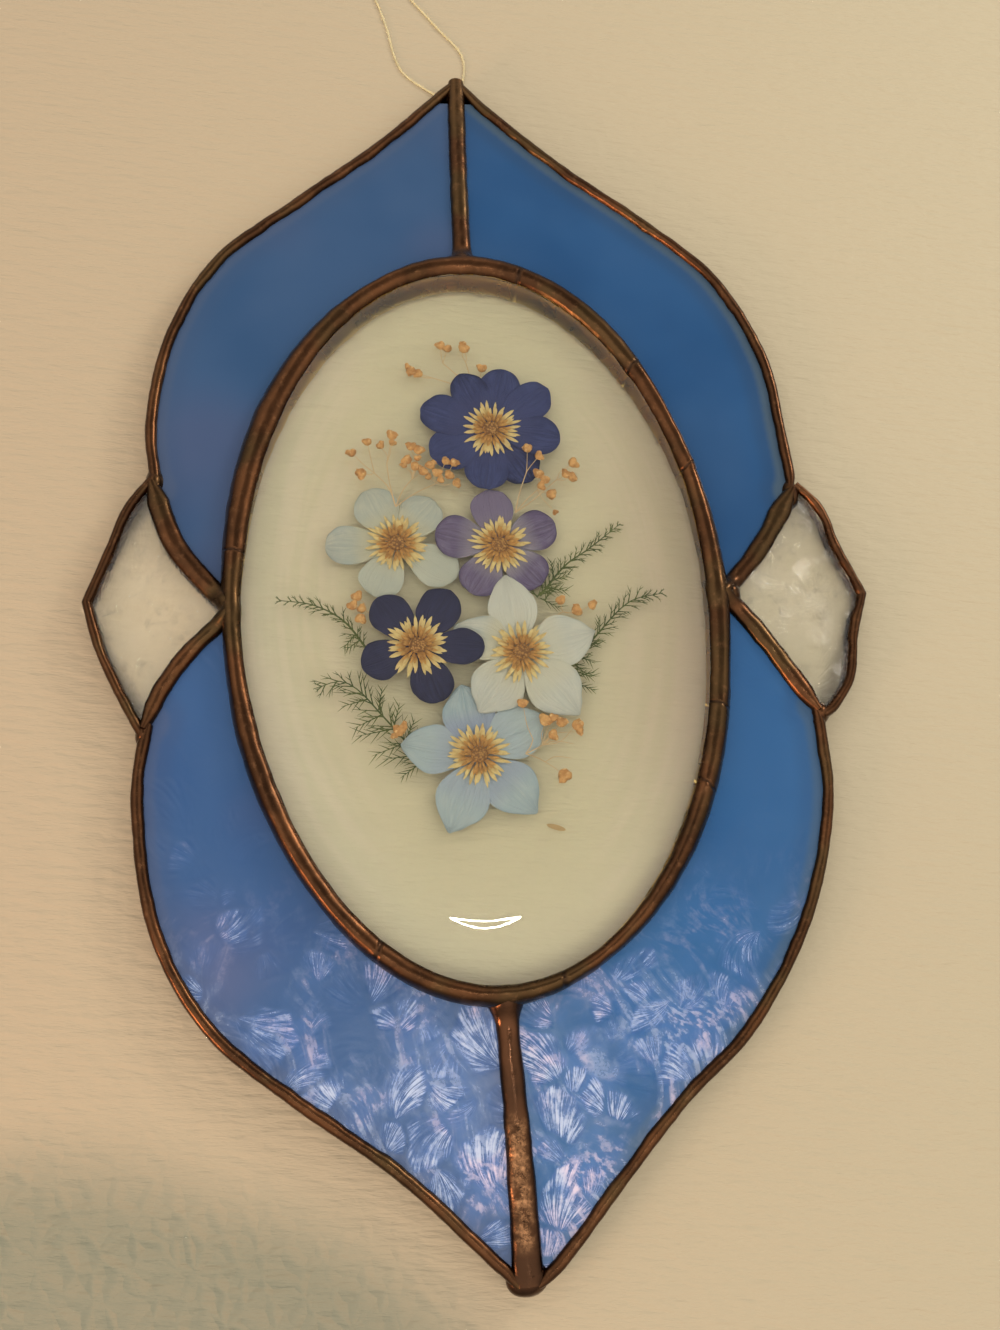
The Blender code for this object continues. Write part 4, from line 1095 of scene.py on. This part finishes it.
def makePetals(key, blanks, finishes):
    about = blossoms[key]
    rnd = random.Random(key)
    x, y = about["middle"]
    low = layers["first"] + layers["step"] * about["layer"]
    made = []
    for i, (direction, length, width) in enumerate(about["petals"]):
        lift = 0.05 + 0.05 * (i * 2 % len(about["petals"]))
        petal = copyOf(blanks[about["tip"]], Matrix.Identity(4))
        seed = rnd.random() * 50
        curl = rnd.uniform(0.05, 0.16)
        lean = rnd.uniform(-0.12, 0.12)
        ragged = about["ragged"]

        def rule(co):
            u = co.x * 2
            wave = noise.noise(Vector((co.x * 3, co.y * 3, seed)))
            fine = noise.noise(Vector((co.x * 9, co.y * 7, seed)))
            rough = ragged * noise.noise(Vector((co.x * 14, co.y * 14, seed + 7))) * (abs(u) > 0.6 or co.y > 0.9)
            fold = about["fold"] * math.exp(-(u / 0.16) ** 2) * math.sin(math.pi * co.y)
            z = curl * u * u * co.y + lean * u * co.y + 0.10 * wave + 0.03 * fine - fold
            return Vector((co.x * width * (1 + 0.10 * wave) + rough * 0.6,
                           co.y * length * (1 + 0.03 * fine) + rough * 0.6, z))

        shapeVerts(petal, rule)
        shade = rnd.random()
        layer = petal.data.uv_layers.new(name="own")
        for loop in petal.data.loops:
            layer.data[loop.index].uv = (shade, 0)
        petal.data.transform(lieFlat(x, y, low + lift, direction))
        made.append(petal)
    whorl = joinAll(made, titled(key) + "Petals")
    edit(whorl)
    bpy.ops.mesh.select_all(action="SELECT")
    bpy.ops.mesh.remove_doubles(threshold=0.000002)
    leaveEdit()
    thick = whorl.modifiers.new("thickness", "SOLIDIFY")
    thick.thickness = 0.00012
    thick.offset = 1.0
    fine = whorl.modifiers.new("rounding", "SUBSURF")
    fine.levels = 1
    fine.render_levels = 1
    applyAll(whorl)
    smooth(whorl, 60)
    dress(whorl, finishes[about["finish"]])
    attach(whorl, "root")
    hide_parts(key + "_petals")


# rings of florets: how many, start, reach, width, height of the ring, finish
floretRings = [(23, 2.3, 5.85, 0.80, 0.10, 0), (19, 2.0, 5.0, 0.80, 0.22, 0), (22, 1.6, 3.7, 0.66, 0.36, 1),
               (20, 1.1, 2.9, 0.56, 0.50, 1)]


def finishFlorets():
    pale = Finish("paleFloret", Roughness=0.55, Specular_IOR_Level=0.35)
    v = pale.split(pale.uvPlace("length"), "Y")
    tone = pale.blend(v.between(0.1, 0.75), (0.46, 0.25, 0.06), (0.72, 0.58, 0.25))
    tone = pale.blend(pale.noise(900, 3).between(0.45, 0.7) * 0.5, tone, (0.46, 0.28, 0.09))
    pale.set(Base_Color=tone)
    pale.set(Normal=pale.bump(pale.noise(2500, 2), 0.00005, 0.6))
    tan = Finish("tanFloret", Roughness=0.6, Specular_IOR_Level=0.3)
    v = tan.split(tan.uvPlace("length"), "Y")
    tone = tan.blend(v.between(0.0, 0.9), (0.26, 0.105, 0.018), (0.58, 0.31, 0.075))
    tone = tan.blend(tan.noise(1100, 3).between(0.45, 0.7) * 0.6, tone, (0.26, 0.12, 0.03))
    tan.set(Base_Color=tone)
    tan.set(Normal=tan.bump(tan.noise(2600, 2), 0.00006, 0.6))
    hub = Finish("floretHub", Roughness=0.7)
    dots = hub.cells(2600)
    hub.set(Base_Color=hub.blend(dots.between(0.2, 0.7), (0.50, 0.26, 0.065), (0.20, 0.085, 0.016)))
    hub.set(Normal=hub.bump(dots, 0.0001, 0.8))
    return [pale, tan, hub]


def floretBlank():
    # a pointed strap that runs along +Y from 0 to 1, and is one wide and one high
    deselectAll()
    bpy.ops.mesh.primitive_cylinder_add(vertices=6, radius=0.5, depth=1, location=(0, 0, 0.5))
    blank = takeNew("floretBlank")
    bpy.ops.object.transform_apply(location=True)
    edit(blank)
    for height in (0.25, 0.55, 0.82):
        bpy.ops.mesh.select_all(action="SELECT")
        bpy.ops.mesh.bisect(plane_co=(0, 0, height), plane_no=(0, 0, 1))
    for height, share in ((0, 0.45), (0.25, 0.8), (0.82, 0.72), (1, 0.12)):
        pick(blank, lambda vert: abs(vert.co.z - height) < 0.01)
        bpy.ops.transform.resize(value=(share, share, 1), center_override=(0, 0, height))
    leaveEdit()
    layer = blank.data.uv_layers.new(name="length")
    for loop in blank.data.loops:
        co = blank.data.vertices[loop.vertex_index].co
        layer.data[loop.index].uv = (co.x + 0.5, co.z)
    blank.data.transform(Matrix.Rotation(math.radians(-90), 4, "X"))
    return blank


def makeCentre(key, blank, finishes):
    about = blossoms[key]
    rnd = random.Random(key + "centre")
    x, y = about["middle"]
    low = layers["first"] + layers["step"] * about["layer"] + 0.42
    made = []
    for count, start, reach, width, lift, tone in floretRings:
        for i in range(count):
            direction = 360 * (i + rnd.uniform(-0.3, 0.3)) / count
            length = (reach - start) * rnd.uniform(0.72, 1.0)
            floret = copyOf(blank, Matrix.Translation((0, 0, 0)))
            bend = rnd.uniform(-0.12, 0.12)
            rise = rnd.uniform(-0.05, 0.05)
            shapeVerts(floret, lambda co: Vector((co.x + bend * co.y * co.y * 2, co.y,
                                                  co.z + 0.4 * co.y * (1 - co.y))))
            spot = Vector((x, y, 0)) + towards(direction) * start
            floret.data.transform(lieFlat(spot.x, spot.y, low + lift + rise, direction + rnd.uniform(-7, 7), length,
                                          width * rnd.uniform(0.8, 1.15), 0.22))
            dress(floret, *finishes, chosen=tone)
            made.append(floret)
    deselectAll()
    bpy.ops.mesh.primitive_uv_sphere_add(segments=20, ring_count=12, radius=1)
    hub = takeNew("hub")
    hub.data.uv_layers[0].name = "length"
    hub.data.transform(Matrix.Translation(at(x, y, low + 0.45)) @ Matrix.Diagonal((0.00150, 0.00140, 0.00058, 1)))
    dress(hub, *finishes, chosen=2)
    centre = joinAll(made + [hub], titled(key) + "Centre")
    smooth(centre, 60)
    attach(centre, "root")
    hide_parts(key + "_centre")


def makeBlossoms():
    blanks = {tip: petalBlank(tip) for tip in petalForms}
    finishes = {name: finishPetal(name) for name in petalTones}
    floret = floretBlank()
    florets = finishFlorets()
    for key in blossoms:
        makePetals(key, blanks, finishes)
        makeCentre(key, floret, florets)
    for blank in (*blanks.values(), floret):
        discard(blank)
    print("blossoms")


makeBlossoms()


# Feathery sprigs: a stem, short branchlets that lean to the tip, and needles on them

sprigs = {
    "fern_left_upper": {"route": [(-35.0, 1.1), (-29.3, 0.1), (-24.3, -2.8), (-20.6, -7.7)], "reach": 2.5,
                        "spacing": 1.15, "tufts": [(-22.3, -5.2, 230, 3.4), (-21.6, -6.3, 215, 3.0)]},
    "fern_left_lower": {"route": [(-29.5, -14.6), (-24.2, -13.6), (-17.9, -19.9), (-10.7, -29.0)], "reach": 4.3,
                        "spacing": 1.5, "tufts": [(-20.5, -16.6, 195, 4.6), (-18.4, -19.4, 205, 5.2),
                                                  (-16.4, -21.8, 190, 6.4), (-14.4, -24.2, 200, 6.2),
                                                  (-12.8, -26.4, 185, 5.6), (-12.0, -27.6, 215, 4.4),
                                                  (-16.4, -21.6, 75, 4.4), (-14.6, -24.0, 65, 4.2),
                                                  (-18.8, -18.6, 80, 4.0)]},
    "fern_right_upper": {"route": [(24.9, 14.4), (18.6, 9.5), (14.4, 6.6), (9.6, 1.0)], "reach": 2.7,
                         "spacing": 1.15, "tufts": [(9.0, 0.8, 45, 4.0), (9.6, 1.6, 10, 4.2),
                                                    (9.6, 0.6, -30, 4.0), (10.4, 0.2, 60, 3.0),
                                                    (10.2, 2.4, 100, 3.4), (9.0, 1.0, 130, 3.2),
                                                    (11.4, 3.6, 20, 4.2), (12.2, 4.4, 95, 3.2),
                                                    (10.4, 2.6, -10, 4.4)]},
    "fern_right_lower": {"route": [(31.4, 1.3), (25.3, -0.3), (18.9, -6.4), (13.2, -12.9)], "reach": 3.0,
                         "spacing": 1.2, "tufts": [(15.2, -9.6, -30, 3.6), (14.4, -11.0, -45, 4.2),
                                                   (15.8, -8.6, 15, 3.6), (14.0, -12.4, -20, 4.2),
                                                   (14.6, -13.6, 10, 3.6), (15.0, -14.8, -25, 3.4),
                                                   (16.4, -7.6, -5, 3.2), (14.2, -9.0, 60, 3.2)]},
}


def needleBlank():
    deselectAll()
    bpy.ops.mesh.primitive_cone_add(vertices=4, radius1=0.5, radius2=0.1, depth=1, location=(0, 0, 0.5))
    blank = takeNew("needleBlank")
    bpy.ops.object.transform_apply(location=True)
    blank.data.transform(Matrix.Rotation(math.radians(-90), 4, "X"))
    return blank


def makeSprigs():
    finish = Finish("sprigGreen", Roughness=0.6, Specular_IOR_Level=0.3)
    tone = finish.blend(finish.noise(260, 3).between(0.35, 0.65), (0.060, 0.090, 0.016), (0.118, 0.150, 0.034))
    tone = finish.blend(finish.noise(900, 2).between(0.58, 0.78), tone, (0.17, 0.165, 0.055))
    finish.set(Base_Color=tone)
    finish.set(Normal=finish.bump(finish.noise(2500, 2), 0.00003, 0.5))
    blank = needleBlank()
    for key, about in sprigs.items():
        rnd = random.Random(key)
        points = [Vector(p).to_3d() for p in about["route"]]
        count = round(routeLength(points) / about["spacing"])
        stem = smoothRoute(points, count)
        low = layers["first"] + 0.16
        route = [at(p.x, p.y, low) for p in stem]
        round6 = [(0.19 * math.cos(math.pi * i / 3), 0.14 * math.sin(math.pi * i / 3)) for i in range(6)]
        widths = [0.35 + 0.65 * i / count for i in range(count + 1)]
        parts = [drawBead(key + "_stem", route, round6, widths)]
        for i in range(count):
            way = (stem[i] - stem[i + 1]).normalized()
            heading = math.degrees(math.atan2(way.y, way.x))
            fullness = min(1.0, 0.45 + 0.11 * i)
            for side in (1, -1):
                branch = heading + side * rnd.uniform(26, 46)
                length = about["reach"] * fullness * rnd.uniform(0.7, 1.1)
                spot = stem[i + 1].lerp(stem[i], rnd.uniform(0, 0.8))
                pointing = towards(branch)
                parts.append(copyOf(blank, lieFlat(spot.x, spot.y, low, branch, length, 0.24, 0.18)))
                for share in (0.35, 0.62):
                    root = spot + pointing * length * (share + rnd.uniform(-0.08, 0.08))
                    turned = branch + side * rnd.choice((1, -1, 1)) * rnd.uniform(22, 38)
                    parts.append(copyOf(blank, lieFlat(root.x, root.y, low + rnd.uniform(-0.1, 0.2), turned,
                                                       length * rnd.uniform(0.30, 0.48), 0.19, 0.14)))
        for x, y, heading, length in about["tufts"]:
            pointing = towards(heading)
            spot = Vector((x, y, 0))
            parts.append(copyOf(blank, lieFlat(x, y, low, heading, length, 0.26, 0.2)))
            for i in range(7):
                root = spot + pointing * length * (0.12 + 0.12 * i)
                turned = heading + (-1) ** i * rnd.uniform(22, 44)
                parts.append(copyOf(blank, lieFlat(root.x, root.y, low + rnd.uniform(-0.1, 0.2), turned,
                                                   length * rnd.uniform(0.30, 0.5), 0.2, 0.14)))
        sprig = joinAll(parts, titled(key))
        smooth(sprig, 60)
        dress(sprig, finish)
        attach(sprig, "root")
        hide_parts(key)
    discard(blank)
    print("sprigs")


makeSprigs()


# Buds on hair-thin stems: where a spray's stems gather, and its buds

sprays = {
    "bud_spray_top": {"layer": 0, "gather": (0.5, 39.5),
                      "arms": [[(-2.6, 43.2), (-5.4, 46.0)], [(-0.5, 43.0), (-1.2, 46.2)], [(-4.0, 41.8), (-7.4, 43.0)],
                               [(0.9, 42.0), (1.2, 43.0)]],
                      "buds": [(-5.7, 49.6, 1.9, 0), (-4.4, 49.0, 1.8, 0), (-1.4, 49.0, 2.1, 1), (-1.5, 50.0, 1.3, 1),
                               (-11.2, 44.4, 2.1, 2), (-9.9, 43.8, 1.8, 2), (-11.8, 45.3, 1.2, 2),
                               (1.6, 45.0, 1.9, 3)]},
    "bud_spray_left": {"layer": 3, "gather": (-14.9, 17.4),
                       "arms": [[(-16.0, 21.0), (-18.4, 23.8)], [(-15.8, 21.8), (-16.2, 25.6)],
                                [(-13.6, 20.4), (-11.9, 22.6)], [(-11.6, 19.8), (-7.6, 21.8)]],
                       "buds": [(-19.5, 29.8, 1.7, 0), (-15.1, 31.1, 2.1, 1), (-15.1, 29.6, 1.4, 1),
                                (-17.2, 29.1, 1.6, 1), (-22.3, 27.7, 1.8, 0), (-20.7, 23.8, 2.2, 0),
                                (-11.9, 28.9, 1.9, 2), (-10.5, 28.2, 2.1, 2), (-12.6, 26.3, 2.0, 2),
                                (-13.2, 25.3, 1.4, 2), (-11.2, 25.0, 2.0, 2), (-9.9, 24.1, 1.9, 2),
                                (-8.5, 25.3, 2.0, 3), (-7.4, 23.8, 1.9, 3), (-5.8, 26.0, 1.7, 3),
                                (-4.3, 25.7, 1.8, 3), (-5.3, 23.3, 1.9, 3), (-4.1, 21.8, 1.8, 3),
                                (-6.9, 22.5, 1.5, 3), (-10.8, 26.6, 1.3, 2), (-9.0, 23.0, 1.3, 3)]},
    "bud_spray_right": {"layer": 3, "gather": (6.0, 16.1),
                        "arms": [[(6.9, 19.6), (8.5, 24.0)], [(8.2, 18.6), (10.2, 20.4)], [(9.0, 18.2), (13.8, 22.4)]],
                        "buds": [(8.9, 28.5, 1.9, 0), (10.9, 27.0, 1.8, 0), (17.0, 25.6, 2.1, 2), (15.5, 23.5, 1.9, 2),
                                 (16.7, 22.8, 1.9, 2), (10.6, 23.5, 2.1, 1), (11.7, 22.4, 1.9, 1),
                                 (10.9, 21.2, 1.7, 1), (12.6, 19.6, 2.1, 1), (13.1, 16.2, 1.1, 1)]},
    "bud_spray_middle": {"layer": 1, "gather": (-18.2, -2.6), "arms": [[(-19.6, -1.8), (-20.4, -1.4)]],
                         "buds": [(-21.9, 1.3, 2.0, 0), (-22.7, -0.3, 1.9, 0), (-21.2, -0.9, 1.7, 0),
                                  (-21.4, -2.6, 2.0, 0)]},
    "bud_spray_right_middle": {"layer": 0, "gather": (12.4, -2.6), "arms": [[(13.0, -2.2), (13.4, -2.0)]],
                               "buds": [(13.1, 0.1, 1.9, 0), (15.8, -1.8, 2.2, 0), (18.6, -0.8, 1.8, 0)]},
    "bud_spray_lower_right": {"layer": 3, "gather": (5.2, -27.0),
                              "arms": [[(6.6, -26.4), (8.2, -25.6)], [(6.0, -26.0), (6.6, -24.6)],
                                       [(7.0, -27.7), (8.4, -28.5)]],
                              "buds": [(5.2, -18.4, 1.9, 1), (8.9, -21.4, 2.4, 0), (10.2, -21.0, 1.7, 0),
                                       (11.6, -21.8, 2.1, 0), (10.0, -24.0, 1.9, 0), (14.3, -22.4, 2.3, 0),
                                       (14.6, -23.4, 1.5, 0), (11.5, -30.8, 2.6, 2)],
                              "bare": [(13.6, -25.6, 0.4, 0), (13.0, -28.0, 0.4, 2), (9.6, -24.9, 0.4, 0)]},
    "bud_lower_left": {"layer": 2, "gather": (-16.9, -23.4), "arms": [[(-16.7, -23.2), (-16.5, -23.0)]],
                       "buds": [(-15.6, -22.4, 2.2, 0), (-14.8, -21.6, 1.5, 0), (-16.5, -23.2, 1.2, 0)]},
}


def budBlank():
    # a knobbly tuft of four small lobes along +Y, drawn in to its stalk at 0
    lobes = []
    for x, y, z, radius in ((0, 0, 0.46, 0.40), (0.24, 0.05, 0.58, 0.27), (-0.20, 0.18, 0.66, 0.26),
                            (-0.04, -0.24, 0.56, 0.28)):
        deselectAll()
        bpy.ops.mesh.primitive_ico_sphere_add(subdivisions=2, radius=radius, location=(x, y, z))
        lobes.append(takeNew("lobe"))
        bpy.ops.object.transform_apply(location=True)
    blank = joinAll(lobes, "budBlank")

    def rule(co):
        lump = 1 + 0.30 * noise.noise(co * 8.0)
        narrow = 0.78 + 0.22 * min(1.0, max(0.0, co.z * 2.6))
        return Vector((co.x * narrow * lump, co.y * narrow * lump, co.z))

    shapeVerts(blank, rule)
    blank.data.transform(Matrix.Rotation(math.radians(-90), 4, "X"))
    return blank


def makeSprays():
    budFinish = Finish("orangeBud", Roughness=0.62, Specular_IOR_Level=0.3)
    tone = budFinish.blend(budFinish.noise(600, 4, roughness=0.65).between(0.38, 0.66), (0.74, 0.42, 0.15),
                           (0.52, 0.255, 0.08))
    # painted highlights: lighter orange specks
    tone = budFinish.blend(budFinish.noise(1400, 2).between(0.56, 0.74), tone, (0.84, 0.58, 0.27))
    budFinish.set(Base_Color=tone)
    budFinish.set(Normal=budFinish.bump(budFinish.noise(1700, 3), 0.00012, 0.8))
    stemFinish = Finish("strawStem", Roughness=0.6, Specular_IOR_Level=0.3)
    stemFinish.set(Base_Color=stemFinish.blend(stemFinish.noise(500), (0.70, 0.53, 0.30), (0.60, 0.43, 0.23)))
    blank = budBlank()
    for key, about in sprays.items():
        rnd = random.Random(key)
        low = layers["first"] + layers["step"] * about["layer"] + 0.4
        thin = [(0.07 * math.cos(math.pi * i / 2.5), 0.07 * math.sin(math.pi * i / 2.5)) for i in range(5)]
        parts = []
        for arm in about["arms"]:
            points = [about["gather"]] + arm
            route = [at(p.x, p.y, low) for p in smoothRoute(points, 7)]
            stalk = drawBead("arm", route, thin, [1.7 - 0.06 * i for i in range(8)])
            dress(stalk, budFinish, stemFinish, chosen=1)
            parts.append(stalk)
        tips = [(*bud, True) for bud in about["buds"]] + [(*tip, False) for tip in about.get("bare", [])]
        for x, y, width, arm, hasBud in tips:
            gx, gy = about["arms"][arm][-1]
            run = Vector((x - gx, y - gy, 0))
            side = Vector((-run.y, run.x, 0)) * rnd.uniform(-0.15, 0.15)
            points = [Vector((gx, gy, 0)), Vector((gx, gy, 0)) + run * 0.4 + side,
                      Vector((x, y, 0)) - run.normalized() * width * 0.3]
            route = [at(p.x, p.y, low) for p in smoothRoute(points, 6)]
            stalk = drawBead("stalk", route, thin, [1.2 - 0.07 * i for i in range(7)])
            dress(stalk, budFinish, stemFinish, chosen=1)
            parts.append(stalk)
            if not hasBud:
                continue
            heading = math.degrees(math.atan2(run.y, run.x)) + rnd.uniform(-30, 30)
            back = Vector((x, y, 0)) - towards(heading) * width * 0.5
            bud = copyOf(blank, Matrix.Rotation(rnd.uniform(0, 6.28), 4, "Y"))
            bud.data.transform(lieFlat(back.x, back.y, low, heading, width * 1.05, width * 1.1, 1.35))
            dress(bud, budFinish, stemFinish)
            parts.append(bud)
        spray = joinAll(parts, titled(key))
        smooth(spray, 60)
        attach(spray, "root")
        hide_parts(key)
    discard(blank)
    print("sprays")


makeSprays()


def makeBract():
    finish = Finish("dryBract", Roughness=0.6)
    finish.set(Base_Color=finish.blend(finish.noise(500, 3), (0.56, 0.39, 0.17), (0.38, 0.25, 0.10)))
    finish.set(Normal=finish.bump(finish.noise(1500, 2), 0.00005, 0.6))
    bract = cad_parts["loose_bract"]
    dress(bract, finish)
    print("bract")


makeBract()


# Floor, light and air

studio = {
    # floorTone is painted light, the floor lighter towards the right; corner is painted shade in the floor's lower-left
    # corner
    "floor": 1.4, "floorTone": ((0.357, 0.283, 0.192), (0.383, 0.330, 0.227)), "corner": (0.203, 0.193, 0.136),
    # painted light: the floor brighter under the clear oval and under the two clear side panes
    "paintedLightUnderOval": ((0.665, 0.59, 0.405), (0.52, 0.43, 0.30)), "paintedLightUnderSides": ((0.82, 0.68, 0.465), (0.70, 0.62, 0.43)),
    "sides": (56.3, 12.4, 21.5),  # middle and half sizes of the two clear side panes
    "zenith": (1.90, 1.80, 1.63), "horizon": (0.50, 0.47, 0.425),
    # a dimmer patch overhead, which the glass mirrors
    "shadeAt": (0.140, 0.347, 0.927), "shade": (0.48, 0.46, 0.44),
    "window": {"place": (0.56, 0.42, 0.38), "size": 0.16, "power": 2.0, "tint": (1.0, 0.93, 0.82)},
    "glow": {"place": (-0.42, -0.30, 0.16), "size": 0.14, "power": 1.5, "tint": (1.0, 0.56, 0.33)},
    "lamp": {"place": (134, -153, 1500), "half": 101, "upperSag": 6, "lowerSag": 26, "tube": 2.0, "strength": 190},
}


def hangLight(name, about):
    data = bpy.data.lights.new(name, "AREA")
    data.size = about["size"]
    data.energy = about["power"]
    data.color = about["tint"]
    light = bpy.data.objects.new(name, data)
    bpy.context.collection.objects.link(light)
    light.location = about["place"]
    light.rotation_euler = (-Vector(about["place"])).to_track_quat("-Z", "Y").to_euler()


def makeLamp():
    # a slim crescent outline, whose reflection sits low on the dome
    about = studio["lamp"]
    half = about["half"]
    deselectAll()
    bpy.ops.mesh.primitive_torus_add(major_radius=half, minor_radius=about["tube"], major_segments=96,
                                     minor_segments=10)
    lamp = takeNew("crescentLamp")

    def rule(co):
        radius = math.hypot(co.x, co.y)
        across = co.x / radius
        sag = about["upperSag"] if co.y > 0 else about["lowerSag"]
        out = (radius - half) * (1 if co.y > 0 else -1)
        place = at(*about["place"])
        return place + Vector((across * half, out - sag * (1 - across * across), co.z)) * mm

    shapeVerts(lamp, rule)
    glow = Finish("lampGlow", Emission_Color=(1.0, 0.99, 0.93), Emission_Strength=about["strength"])
    dress(lamp, glow)


def makeStudio():
    deselectAll()
    bpy.ops.mesh.primitive_plane_add(size=studio["floor"])
    floor = takeNew("floor")
    edit(floor)
    bpy.ops.mesh.subdivide(number_cuts=20)
    leaveEdit()
    finish = Finish("creamHide", Roughness=0.62, Specular_IOR_Level=0.25)
    place = finish.objectPlace()
    x = finish.split(place, "X")
    y = finish.split(place, "Y")
    bow = x + 0.078
    # painted shade: the floor's lower-left corner darker, where its grain is also deeper
    corner = (y + 0.078 + 6 * bow * bow + 0.012 * finish.noise(14, 2)).between(0.008, -0.012)
    # painted light: the floor lighter towards the right
    tone = finish.blend(x.between(-0.13, 0.12), *studio["floorTone"])
    tone = finish.blend(corner, tone, studio["corner"])
    # painted light: the floor brighter under the clear oval, darker towards the oval's right side
    cx, cy = oval["middle"]
    across = (x - at(cx, cy).x) * (1000 / oval["half"][0])
    along = (y - at(cx, cy).y) * (1000 / oval["half"][1])
    inside = (across * across + along * along).between(1.02, 0.86)
    # painted light: the floor brighter under the two clear side panes
    reach, wide, long = studio["sides"]
    aside = finish.math("ABSOLUTE", finish.math("ABSOLUTE", x) - reach * mm) * (1000 / wide)
    upward = finish.math("ABSOLUTE", y - 0.0015) * (1000 / long)
    paintedLightBeside = (aside + upward).between(1.10, 0.88)
    tone = finish.blend(paintedLightBeside, tone, finish.blend(x.between(-0.02, 0.02), *studio["paintedLightUnderSides"]))
    paintedLightBelow = finish.blend(x.between(0.012, 0.038) * y.between(-0.055, -0.02), *studio["paintedLightUnderOval"])
    finish.set(Base_Color=finish.blend(inside, tone, paintedLightBelow))
    bent = finish.node("ShaderNodeVectorMath", {"operation": "MULTIPLY_ADD"},
                       {0: finish.noise(90, 2, output="Color"), 1: (0.003, 0.003, 0), 2: place})
    pebbles = finish.cells(250, bent, "DISTANCE_TO_EDGE").between(0.0, 0.40) + 0.7 * finish.noise(330, 2)
    wrinkles = finish.noise(1.0, 3, finish.together(x * 150, y * 640 + x * 60), 0.55)
    folds = finish.bump(pebbles, 0.0009, 0.06 + 0.36 * corner)
    finish.set(Normal=finish.bump(wrinkles, 0.0006, 0.8, folds))
    dress(floor, finish)
    world = bpy.data.worlds.new("paleAir")
    world.use_nodes = True
    sky = Finish("skyHelper")
    sky.tree = world.node_tree
    direction = sky.node("ShaderNodeTexCoord", output="Generated")
    height = sky.split(direction, "Z")
    facing = sky.node("ShaderNodeVectorMath", {"operation": "DOT_PRODUCT"},
                      {0: direction, 1: studio["shadeAt"]}, "Value")
    tone = sky.blend(height.between(-0.05, 1.0), studio["horizon"], studio["zenith"])
    sky.plug(world.node_tree.nodes["Background"].inputs["Color"],
             sky.blend(facing.between(0.87, 0.965), tone, studio["shade"]))
    bpy.data.materials.remove(sky.mat)
    bpy.context.scene.world = world
    hangLight("window", studio["window"])
    hangLight("glow", studio["glow"])
    makeLamp()
    bpy.context.scene.view_settings.view_transform = "Standard"
    print("studio")


makeStudio()
